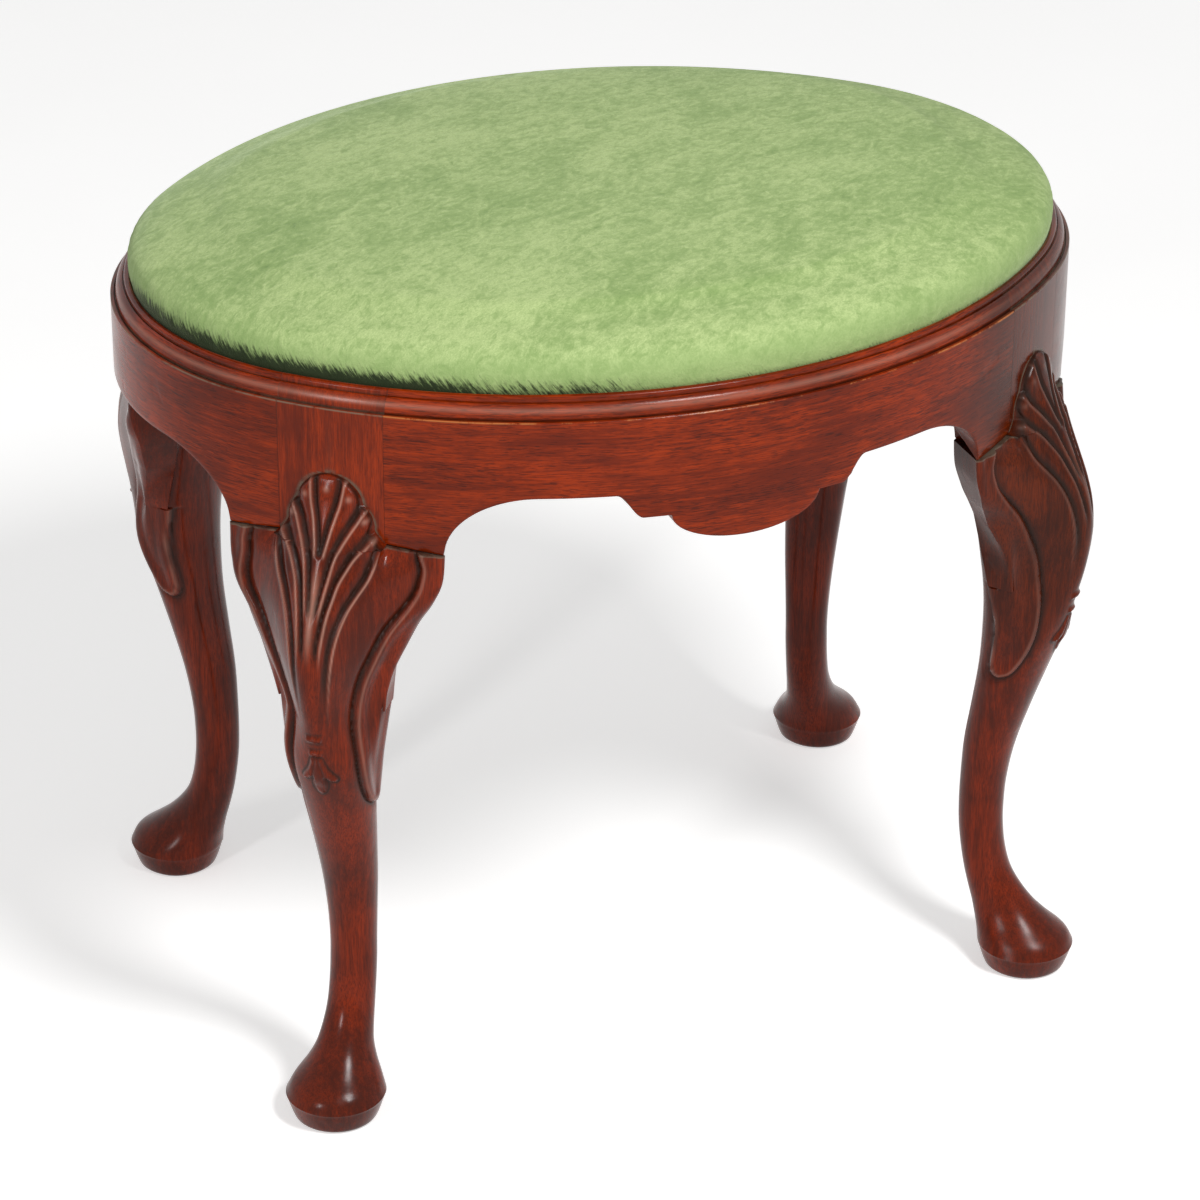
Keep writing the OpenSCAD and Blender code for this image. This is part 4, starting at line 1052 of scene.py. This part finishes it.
def plywood():
    """Plywood: birch face, with the plies showing as bands of two tones on the sawn edge."""
    inner = bpy.context.scene.bench_inner
    made, s, shader = new_material("birch plywood")
    place = object_place(s)
    timber = use_group(s, "Timber", {
        "Place": place, "Light": rgba(inner.ply_light), "Dark": rgba(inner.ply_dark),
        "Pore Color": rgba(inner.grime), "Figure": 1.2, "Pores": 0.3,
    })
    height = s.add("ShaderNodeSeparateXYZ", {0: place}).outputs[2]
    plies = s.math("SINE", s.math("MULTIPLY", height, 6283.2 / 4.8))
    facing = upward_normal(s)
    edge = s.window(s.math("ABSOLUTE", facing), 0.6, 0.4)
    banded = s.blend(s.window(plies, -0.2, 0.2), timber["Color"], rgba(inner.ply_dark))
    s.link(s.blend(edge, timber["Color"], banded), shader.inputs["Base Color"])
    s.link(s.window(timber["Pores"], 0, 1, 0.7, 0.85), shader.inputs["Roughness"])
    s.link(s.bump(timber["Height"], 0.3, 0.0003), shader.inputs["Normal"])
    return made


def worn_metal(name, bright, dull, roughness):
    """Small hardware with tarnish in patches and fine turning marks."""
    made, s, shader = new_material(name)
    place = object_place(s)
    tarnish = s.window(s.noise(place, 420, 4, 0.65), 0.42, 0.66)
    marks = s.noise(s.stretch(place, (400, 400, 5000)), 1, 2)
    s.link(s.blend(tarnish, rgba(bright), rgba(dull)), shader.inputs["Base Color"])
    s.link(s.window(tarnish, 0, 1, roughness, roughness + 0.3), shader.inputs["Roughness"])
    s.link(s.window(tarnish, 0, 1, 1, 0.75), shader.inputs["Metallic"])
    s.link(s.bump(marks, 0.2, 0.0001), shader.inputs["Normal"])
    return made


def finish(piece, material):
    piece.data.materials.clear()
    piece.data.materials.append(material)
    return piece


def coordinates(mesh):
    flat = np.empty(len(mesh.vertices) * 3)
    mesh.vertices.foreach_get("co", flat)
    return flat.reshape(-1, 3)


def along_leg(piece):
    """Where each point lies in upright timber, with X along the grain."""
    return coordinates(piece.data)[:, [2, 0, 1]]


def along_bow(piece, axis, middle):
    """The same in a bowed rail: arc length, distance from the arc's middle on the axis, and height."""
    place = coordinates(piece.data)
    out = np.abs(place[:, axis]) - middle * MM
    radius = np.hypot(place[:, 1 - axis], out)
    arc = np.arctan2(place[:, 1 - axis], out) * radius.mean()
    return np.column_stack([arc + np.sign(place[:, axis].mean()), radius, place[:, 2]])


def add_grain(piece, place):
    """Stores each point's place in the timber, in metres, and how much painted shade darkens it at the front
    right corner.
    """
    store(piece.data, "grain", place, "FLOAT_VECTOR")
    x, y, z = coordinates(piece.data).T
    # Painted shade: the bench's front right corner, above about 170 mm, is drawn darker
    painted_shade = ease((x - 0.11) / 0.08) * ease((0.04 - y) / 0.1) * ease((z - 0.17) / 0.12)
    store(piece.data, "painted_shade", painted_shade)


# Seat


def oval(turn, off):
    """A place on the bench's outline moved out by off; turn is in radians."""
    c, s = np.cos(turn), np.sin(turn)
    ends = np.abs(s) < np.abs(c) * math.tan(ARC_TURN)
    x = np.where(ends, np.sign(c) * END_C + (END_R + off) * c, (SIDE_R + off) * c)
    y = np.where(ends, (END_R + off) * s, (SIDE_R + off) * s - np.sign(s) * SIDE_C)
    return x, y


def seat_ring(off, share, z, sides):
    """Points round the seat, evenly spaced along its edge, drawn in to a share of its size."""
    turn = np.linspace(0, 2 * np.pi, 1441)[:-1]
    x, y = oval(turn, off)
    step = np.hypot(np.diff(np.append(x, x[0])), np.diff(np.append(y, y[0])))
    run = np.concatenate([[0], np.cumsum(step)])
    places = np.linspace(0, run[-1], sides + 1)[:-1]
    x = np.interp(places, run, np.append(x, x[0]))
    y = np.interp(places, run, np.append(y, y[0]))
    return np.column_stack([x * share, y * share, np.full(sides, z)])


CROWN_H, COVER_T, BOARD_T, COVER_TURN, DUST_LAP = 40.4, 1.6, 12.0, 28.0, 4.0
DUST_HALF, STAPLE_PULLS = 0.3, 24
CLOTH_FRAMES, GRIP_FADE, EVEN_ROUNDS = 20, 0.012, 60
SEAT_LOW = LEDGE_Z + 0.3
SEAT_TOP = RIM_TOP + CROWN_H
COVER_EDGE = -RIM_W - 1.0
BOARD_EDGE = COVER_EDGE - COVER_T
SWELL = 2.4
SWELL_Z = RIM_TOP + 2.5 * SWELL


def crown_z(share, low, top):
    return low + (top - low) * (1 - share ** 2.7) ** (1 / 3)


def seat_rings(depth, shares, bottom):
    """Rings of the stuffed seat from its lower edge to its crown, lying in by depth."""
    rings = [(COVER_EDGE - depth - 1.2, 1, bottom), (COVER_EDGE - depth - 0.3, 1, bottom + 0.5)]
    rings += [(COVER_EDGE - depth, 1, z) for z in np.linspace(bottom + 1.6, RIM_TOP, 5)]
    rings += [(COVER_EDGE + 0.8 * SWELL - depth, 1, mix(RIM_TOP, SWELL_Z, 0.5))]
    rings += [(COVER_EDGE + SWELL - depth, s, crown_z(s, SWELL_Z, SEAT_TOP - depth)) for s in shares]
    return rings


def seat_skin(name, depth, bottom, sides=220):
    """A closed skin of the seat: underside, edge and crown, as one evenly divided mesh."""
    shares = [1, 0.998, 0.992, 0.984, 0.972, 0.955, 0.93] + list(np.linspace(0.9, 0.04, 40))
    under = [(COVER_EDGE - depth, s, bottom) for s in np.linspace(0.04, 0.97, 40)]
    rings = [seat_ring(off, share, z, sides) for off, share, z in under + seat_rings(depth, shares, bottom)]
    return new_piece(name, [(np.array(rings), {}, True)], "seat")


def evened(values, mesh, rounds):
    """Averages values over neighbouring points, which takes the wrinkles out and leaves the broad swell."""
    edges = np.empty(len(mesh.edges) * 2, int)
    mesh.edges.foreach_get("vertices", edges)
    start, end = np.concatenate([edges.reshape(-1, 2), edges.reshape(-1, 2)[:, ::-1]]).T
    count = len(values)
    shared = 1 + np.bincount(start, minlength=count)
    for _ in range(rounds):
        sums = [np.bincount(start, values[end, axis], count) for axis in range(3)]
        values = (values + np.column_stack(sums)) / shared[:, None]
    return values


def puffed(piece, voxel, pressure, cap, hold_below):
    """Remeshes a closed skin and swells it with cloth, in metres. At the default settings the limits decide
    more than the cloth does: about nine in ten of the free points end at 0 or at cap."""
    bpy.context.view_layer.objects.active = piece
    remesh = piece.modifiers.new("even mesh", "REMESH")
    remesh.mode = "VOXEL"
    remesh.voxel_size = voxel
    bpy.ops.object.modifier_apply(modifier=remesh.name)
    mesh = piece.data
    count = len(mesh.vertices)
    start = np.empty(count * 3)
    mesh.vertices.foreach_get("co", start)
    start = start.reshape(-1, 3)
    held = piece.vertex_groups.new(name="held")
    grip = 1 - ease((start[:, 2] - hold_below) / GRIP_FADE)
    for k in np.nonzero(grip > 0)[0]:
        held.add([int(k)], float(grip[k]), "REPLACE")
    cloth = piece.modifiers.new("stuffing", "CLOTH")
    cloth.settings.quality = 5
    cloth.settings.mass = 0.3
    cloth.settings.tension_stiffness = 25
    cloth.settings.compression_stiffness = 25
    cloth.settings.shear_stiffness = 8
    cloth.settings.bending_stiffness = 4
    cloth.settings.use_pressure = True
    cloth.settings.uniform_pressure_force = pressure
    cloth.settings.vertex_group_mass = "held"
    cloth.settings.effector_weights.gravity = 0
    cloth.collision_settings.use_collision = False
    scene = bpy.context.scene
    for number in range(1, CLOTH_FRAMES + 1):
        scene.frame_set(number)
    bpy.ops.object.modifier_apply(modifier=cloth.name)
    scene.frame_set(1)
    end = np.empty(count * 3)
    mesh.vertices.foreach_get("co", end)
    mesh.vertices.foreach_set("co", start.ravel())
    outward = np.empty(count * 3)
    mesh.vertex_normals.foreach_get("vector", outward)
    outward = outward.reshape(-1, 3)
    # The plain result moves points by up to 22 mm and is scalloped at the shoulder, so it is averaged, its
    # inward part is dropped and the rest is cut off at cap
    swell = np.sum(evened(end.reshape(-1, 3) - start, mesh, EVEN_ROUNDS) * outward, axis=1, keepdims=True)
    mesh.vertices.foreach_set("co", (start + np.clip(swell, 0, cap) * outward).ravel())
    mesh.update()


def subdivided(piece):
    smooth = piece.modifiers.new("smooth", "SUBSURF")
    smooth.levels = smooth.render_levels = 1
    bpy.context.view_layer.objects.active = piece
    bpy.ops.object.modifier_apply(modifier=smooth.name)


def add_lay(piece):
    """Stores the dark band low on the front left of the cushion and a painted shade line where it meets the
    rim.
    """
    velvet = bpy.context.scene.bench_velvet
    place = coordinates(piece.data) / MM
    turn = np.degrees(np.arctan2(place[:, 1], place[:, 0] * HALF_DEP / HALF_LEN)) % 360
    arc = ease((turn - 160) / 26) * (1 - 0.4 * ease((turn - 228) / 14)) * (1 - ease((turn - 250) / 16))
    above = place[:, 2] - RIM_TOP
    height = velvet.band_height / MM * mix(1.0, 0.75, ease((turn - 190) / 50))
    low = (1.3 - 1.3 * ease(above / (1.6 * height))) * ease((above + 9) / 7)
    # Painted shade along the line where the cushion meets the rim
    seam = 0.5 * (1 - ease(np.abs(above) / 3.5))
    store(piece.data, "dark_band_and_seam_shade", np.maximum(low * arc, seam))
    brush = np.column_stack([np.radians(turn) * 250 + 0.7 * above, above, np.zeros(len(above))]) * MM
    store(piece.data, "brush", brush, "FLOAT_VECTOR")


# Settings


def color_setting(name, description, value):
    return bpy.props.FloatVectorProperty(
        name=name, description=description, default=value, subtype="COLOR", size=3, min=0, max=1)


def length_setting(name, description, value):
    return bpy.props.FloatProperty(
        name=name, description=description, default=value, unit="LENGTH", subtype="DISTANCE")


class WoodSettings(bpy.types.PropertyGroup):
    rail_light: color_setting("Rail Light", "Light figure of the rails", (0.35, 0.033, 0.0015))
    rail_dark: color_setting("Rail Dark", "Dark figure of the rails", (0.128, 0.0115, 0.001))
    leg_light: color_setting("Leg Light", "Light figure of the legs", (0.24, 0.022, 0.002))
    leg_dark: color_setting("Leg Dark", "Dark figure of the legs", (0.077, 0.008, 0.0012))
    pore_color: color_setting("Pores", "Filled pores of the mahogany", (0.028, 0.004, 0.0015))
    # Colour of the glaze in the hollows, also of the painted shade on the knee blocks' flanks and round the
    # shells
    glaze_and_shade_color: color_setting("Glaze", "Old polish left in the hollows", (0.016, 0.007, 0.004))
    worn_color: color_setting("Worn Edge", "Bare wood where an edge is worn", (0.5, 0.16, 0.045))
    # Colours of the painted shade on the front right corner
    shaded_light_figure: color_setting("Aged Light", "Light figure of the darkened stain", (0.095, 0.015, 0.001))
    shaded_dark_figure: color_setting("Aged Dark", "Dark figure of the darkened stain", (0.026, 0.005, 0.001))
    # The painted highlight's colour, on the carving's lips, lobe ends and middle rib and along the ovolo
    highlight_color: color_setting("Rubbed Lip", "Polish rubbed pale on the carving's lips", (0.6, 0.32, 0.24))
    # Colour of the wax dust, also of the painted sheen line below the ovolo on the end rails and posts
    dust_color: color_setting("Wax Dust", "Dry wax along the joints", (0.17, 0.14, 0.1))
    gloss: bpy.props.FloatProperty(
        name="Polish Roughness", description="Roughness of the polish", default=0.18, min=0.05, max=1,
        subtype="FACTOR")
    carving_depth: bpy.props.FloatProperty(
        name="Carving Depth", description="Depth of the carving, 1 as carved", default=1.0, min=0, max=1.5)


class VelvetSettings(bpy.types.PropertyGroup):
    pile_light: color_setting("Light Pile", "Pile that lies towards the light", (0.56, 0.69, 0.305))
    pile_mid: color_setting("Middle Pile", "Pile that stands up", (0.29, 0.42, 0.15))
    pile_deep: color_setting("Deep Pile", "Pile that lies away", (0.13, 0.22, 0.07))
    pile_shadow: color_setting("Shadow Pile", "Pile brushed right over at the edge", (0.008, 0.016, 0.006))
    # Height of the dark band low on the front left of the cushion
    band_height: length_setting("Brushed Band", "Height of the dark brushed band", 0.012)
    voxel: length_setting("Cloth Mesh", "Spacing of the cloth that is blown up", 0.005)
    cap: length_setting("Most Swell", "Furthest that a point of the cushion may move", 0.003)
    pressure: bpy.props.FloatProperty(
        name="Pressure", description="Pressure of the stuffing", default=4.0, min=0)


class InnerSettings(bpy.types.PropertyGroup):
    foam_new: color_setting("Foam", "Fresh foam", (0.78, 0.68, 0.42))
    foam_old: color_setting("Old Foam", "Yellowed foam", (0.6, 0.46, 0.22))
    cambric: color_setting("Cambric", "Black dust cover", (0.018, 0.018, 0.02))
    cambric_dust: color_setting("Cambric Lint", "Lint on the dust cover", (0.09, 0.085, 0.08))
    ply_light: color_setting("Birch Light", "Light figure of the plywood", (0.66, 0.47, 0.27))
    ply_dark: color_setting("Birch Dark", "Dark plies", (0.42, 0.27, 0.14))
    oak_light: color_setting("Oak Light", "Light figure of the corner blocks", (0.43, 0.28, 0.13))
    oak_dark: color_setting("Oak Dark", "Dark figure of the corner blocks", (0.24, 0.14, 0.06))
    beech_light: color_setting("Beech Light", "Light figure of the dowels", (0.62, 0.42, 0.24))
    beech_dark: color_setting("Beech Dark", "Dark figure of the dowels", (0.44, 0.28, 0.15))
    grime: color_setting("Grime", "Dirt in bare wood", (0.06, 0.035, 0.02))
    brass: color_setting("Brass", "Bright brass", (0.76, 0.55, 0.25))
    brass_dull: color_setting("Dull Brass", "Tarnished brass", (0.25, 0.17, 0.08))
    steel: color_setting("Steel", "Bright steel", (0.6, 0.6, 0.6))
    steel_dull: color_setting("Dull Steel", "Dulled steel", (0.22, 0.21, 0.2))


class StudioSettings(bpy.types.PropertyGroup):
    floor_color: color_setting("Floor", "Pale floor", (0.86, 0.855, 0.845))
    key_power: bpy.props.FloatProperty(
        name="Key Lamp", description="Power of the right lamp", default=46, unit="POWER")
    fill_power: bpy.props.FloatProperty(
        name="Fill Lamp", description="Power of the left lamp", default=17, unit="POWER")
    sky: bpy.props.FloatProperty(
        name="Room Light", description="Even light of the room", default=0.28, min=0)


# Operators


class BENCH_OT_studio(bpy.types.Operator):
    """Add the floor, the lamps, the room light and the camera"""
    bl_idname = "bench.studio"
    bl_label = "Studio"

    def execute(self, context):
        studio = context.scene.bench_studio
        self.add_floor(studio)
        self.add_room(context, studio)
        self.add_lamp("right lamp", Vector((0.5, -1.71, 2.28)), 0.56, 0.56, studio.key_power)
        self.add_lamp("left lamp", Vector((-2.26, -1.36, 1.25)), 0.24, 0.85, studio.fill_power)
        self.add_camera(context)
        return {"FINISHED"}

    def add_floor(self, studio):
        grid = np.array([[(x, y, 0.0) for x in np.linspace(-6, 6, 13)] for y in np.linspace(-6, 6, 13)])
        corners = [row * 13 + column for row in range(12) for column in range(12)]
        faces = [(k, k + 1, k + 14, k + 13) for k in corners]
        mesh = bpy.data.meshes.new("floor")
        mesh.from_pydata(grid.reshape(-1, 3).tolist(), [], faces)
        floor = bpy.data.objects.new("floor", mesh)
        bpy.context.scene.collection.objects.link(floor)
        made, s, shader = new_material("pale floor")
        place = object_place(s)
        tone = s.window(s.noise(place, 3, 4, 0.6), 0.2, 0.8, 0.97, 1.0)
        color = s.blend(1.0, rgba(studio.floor_color), tone, "MULTIPLY")
        s.link(color, shader.inputs["Base Color"])
        shader.inputs["Roughness"].default_value = 0.9
        s.link(s.blend(s.seen(), (0, 0, 0, 1), (1, 1, 1, 1)), shader.inputs["Emission Color"])
        shader.inputs["Emission Strength"].default_value = 0.5
        mesh.materials.append(made)

    def add_room(self, context, studio):
        world = bpy.data.worlds.new("room")
        world.use_nodes = True
        world.node_tree.nodes.clear()
        s = Shading(world.node_tree)
        level = (studio.sky, studio.sky, studio.sky, 1)
        color = s.blend(s.seen(), level, (1, 1, 1, 1))
        back = s.add("ShaderNodeBackground", {"Color": color, "Strength": 1.0})
        s.add("ShaderNodeOutputWorld", {"Surface": back.outputs[0]})
        context.scene.world = world

    def add_lamp(self, name, place, width, height, power):
        data = bpy.data.lights.new(name, "AREA")
        data.shape = "ELLIPSE"
        data.size = width
        data.size_y = height
        data.energy = power
        lamp = bpy.data.objects.new(name, data)
        lamp.location = place
        aim = Vector((0, 0, 0.3)) - place
        lamp.rotation_euler = aim.to_track_quat("-Z", "Y").to_euler()
        bpy.context.scene.collection.objects.link(lamp)

    def add_camera(self, context):
        data = bpy.data.cameras.new("camera")
        data.sensor_fit = "HORIZONTAL"
        data.sensor_width = 36.0
        data.lens = CAMERA_FOCUS * 36.0 / IMAGE_W
        camera = bpy.data.objects.new("camera", data)
        turn = Matrix((CAMERA_RIGHT, CAMERA_UP, CAMERA_BACK)).transposed().to_4x4()
        camera.matrix_world = Matrix.Translation(Vector(CAMERA_PLACE) * MM) @ turn
        context.scene.collection.objects.link(camera)
        context.scene.camera = camera
        context.scene.view_settings.view_transform = "Standard"


class BENCH_OT_legs(bpy.types.Operator):
    """Add the four carved legs"""
    bl_idname = "bench.legs"
    bl_label = "Carved Legs"

    def execute(self, context):
        wood = context.scene.bench_wood
        material = polished_wood("leg mahogany", wood.leg_light, wood.leg_dark, 0.9, 0.35, wood.gloss)
        body, shades = carved_leg(wood.carving_depth)
        post, edges = leg_post()
        for corner, (sx, sy) in CORNERS.items():
            parts = [(leg_to_world(body, corner), shades, True), (leg_to_world(post, corner), edges, True)]
            leg = new_piece("leg_" + corner + "_carved", parts, "frame", flip=sx * sy < 0)
            add_grain(leg, along_leg(leg))
            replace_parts(finish(leg, material), "leg_" + corner)
        return {"FINISHED"}


class BENCH_OT_knee_blocks(bpy.types.Operator):
    """Add the eight carved knee blocks beside the posts"""
    bl_idname = "bench.knee_blocks"
    bl_label = "Knee Blocks"

    def execute(self, context):
        wood = context.scene.bench_wood
        material = polished_wood("block mahogany", wood.leg_light, wood.leg_dark, 0.9, 0.35, wood.gloss)
        for corner, (sx, sy) in CORNERS.items():
            for side, word in ((1, corner.split("_")[0]), (-1, "end")):
                grid, shades = knee_block(side, wood.carving_depth)
                name = "knee_block_" + corner + "_" + word
                block = new_piece(name + "_carved", [(leg_to_world(grid, corner), shades, True)], "frame",
                                  flip=sx * sy * side < 0)
                add_grain(block, along_leg(block))
                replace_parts(finish(block, material), name)
        return {"FINISHED"}


class BENCH_OT_rails(bpy.types.Operator):
    """Add the four bowed rails with their moulded rim"""
    bl_idname = "bench.rails"
    bl_label = "Moulded Rails"

    def execute(self, context):
        wood = context.scene.bench_wood
        gloss = wood.gloss + 0.03
        material = polished_wood("rail mahogany", wood.rail_light, wood.rail_dark, 1.0, 1.0, gloss)
        shapes = (
            ("rail_back", rail_side(), 1, 1, -SIDE_C), ("rail_front", rail_side(), -1, 1, -SIDE_C),
            ("rail_right", rail_end(), 1, 0, END_C), ("rail_left", rail_end(), -1, 0, END_C),
        )
        for name, (grid, shades), turned, axis, middle in shapes:
            rail = new_piece(name + "_moulded", [(grid * (turned, turned, 1), shades, True)], "frame")
            add_grain(rail, along_bow(rail, axis, middle))
            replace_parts(finish(rail, material), name)
        return {"FINISHED"}


class BENCH_OT_cushion(bpy.types.Operator):
    """Add the stuffed seat in crushed velvet"""
    bl_idname = "bench.cushion"
    bl_label = "Velvet Seat"

    def execute(self, context):
        velvet = context.scene.bench_velvet
        cushion = seat_skin("seat_cover_velvet", 0.0, SEAT_LOW)
        puffed(cushion, velvet.voxel, velvet.pressure, velvet.cap, (RIM_TOP - 1) * MM)
        subdivided(cushion)
        cushion.data.shade_smooth()
        add_lay(cushion)
        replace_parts(finish(cushion, crushed_velvet()), "seat_cover")
        return {"FINISHED"}


class BENCH_OT_foam(bpy.types.Operator):
    """Add the foam pad inside the seat"""
    bl_idname = "bench.foam"
    bl_label = "Foam Pad"

    def execute(self, context):
        foam = seat_skin("seat_foam_pad", 6.5, SEAT_LOW + COVER_T + BOARD_T + 0.1, 120)
        foam.data.shade_smooth()
        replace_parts(finish(foam, pale_foam()), "seat_foam")
        return {"FINISHED"}


class BENCH_OT_dust_cover(bpy.types.Operator):
    """Add the cambric that is stapled under the seat"""
    bl_idname = "bench.dust_cover"
    bl_label = "Dust Cover"

    def execute(self, context):
        off = BOARD_EDGE - COVER_TURN + DUST_LAP
        sides = 240
        top = SEAT_LOW - 0.1
        turn = np.arange(sides) * 2 * np.pi / sides
        pull = 0.45 * (1 + np.cos(STAPLE_PULLS * turn)) / 2
        rings = []
        for share in np.linspace(0.02, 1, 60):
            ring = seat_ring(off, share, top - 2 * DUST_HALF, sides)
            ring[:, 2] += 0.25 * (1 - share ** 4) - 0.18 * pull * share ** 8
            rings.append(ring)
        under = np.array(rings)
        upper = under.copy()[::-1]
        upper[..., 2] += 2 * DUST_HALF
        cloth = new_piece("dust_cover_cambric", [(np.concatenate([under, upper]), {}, True)], "seat")
        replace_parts(finish(cloth, black_cambric()), "dust_cover")
        x, y = oval(np.linspace(0, 2 * np.pi, 2001), off)
        return {"FINISHED"}


class BENCH_OT_inner_parts(bpy.types.Operator):
    """Finish the board, corner blocks, dowels, screws and staples"""
    bl_idname = "bench.inner_parts"
    bl_label = "Inner Parts"

    def execute(self, context):
        inner = context.scene.bench_inner
        oak = bare_wood("oak", inner.oak_light, inner.oak_dark, (0, 0, math.radians(40)), 0.9)
        beech = bare_wood("beech", inner.beech_light, inner.beech_dark, (0, 0, 0), 0.3)
        finishes = {
            "seat_board": plywood(),
            "corner_block": oak,
            "corner_block_screws": worn_metal("brass", inner.brass, inner.brass_dull, 0.3),
            "dowels": beech,
            "dust_cover_staples": worn_metal("steel", inner.steel, inner.steel_dull, 0.35),
        }
        for name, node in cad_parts.items():
            keys = [key for key in finishes if name.startswith(key)]
            if keys:
                node.data.materials.clear()
                node.data.materials.append(finishes[max(keys, key=len)])
        return {"FINISHED"}


class BENCH_PT_panel(bpy.types.Panel):
    """The bench's pieces and settings"""
    bl_idname = "BENCH_PT_panel"
    bl_label = "Vanity Bench"
    bl_space_type = "VIEW_3D"
    bl_region_type = "UI"
    bl_category = "Vanity Bench"

    def draw(self, context):
        for operator in OPERATORS:
            self.layout.operator(operator.bl_idname)
        for name in SETTINGS:
            group = getattr(context.scene, name)
            box = self.layout.box()
            for key in group.__annotations__:
                box.prop(group, key)


SETTINGS = {
    "bench_wood": WoodSettings, "bench_velvet": VelvetSettings, "bench_inner": InnerSettings,
    "bench_studio": StudioSettings,
}
OPERATORS = (
    BENCH_OT_studio, BENCH_OT_legs, BENCH_OT_knee_blocks, BENCH_OT_rails, BENCH_OT_cushion, BENCH_OT_foam,
    BENCH_OT_dust_cover, BENCH_OT_inner_parts,
)


def register():
    for name, settings in SETTINGS.items():
        bpy.utils.register_class(settings)
        setattr(bpy.types.Scene, name, bpy.props.PointerProperty(type=settings))
    for operator in OPERATORS:
        bpy.utils.register_class(operator)
    bpy.utils.register_class(BENCH_PT_panel)


def unregister():
    bpy.utils.unregister_class(BENCH_PT_panel)
    for operator in reversed(OPERATORS):
        bpy.utils.unregister_class(operator)
    for name, settings in reversed(SETTINGS.items()):
        delattr(bpy.types.Scene, name)
        bpy.utils.unregister_class(settings)


def main():
    register()
    for operator in OPERATORS:
        family, name = operator.bl_idname.split(".")
        getattr(getattr(bpy.ops, family), name)()


if __name__ == "__main__":
    main()
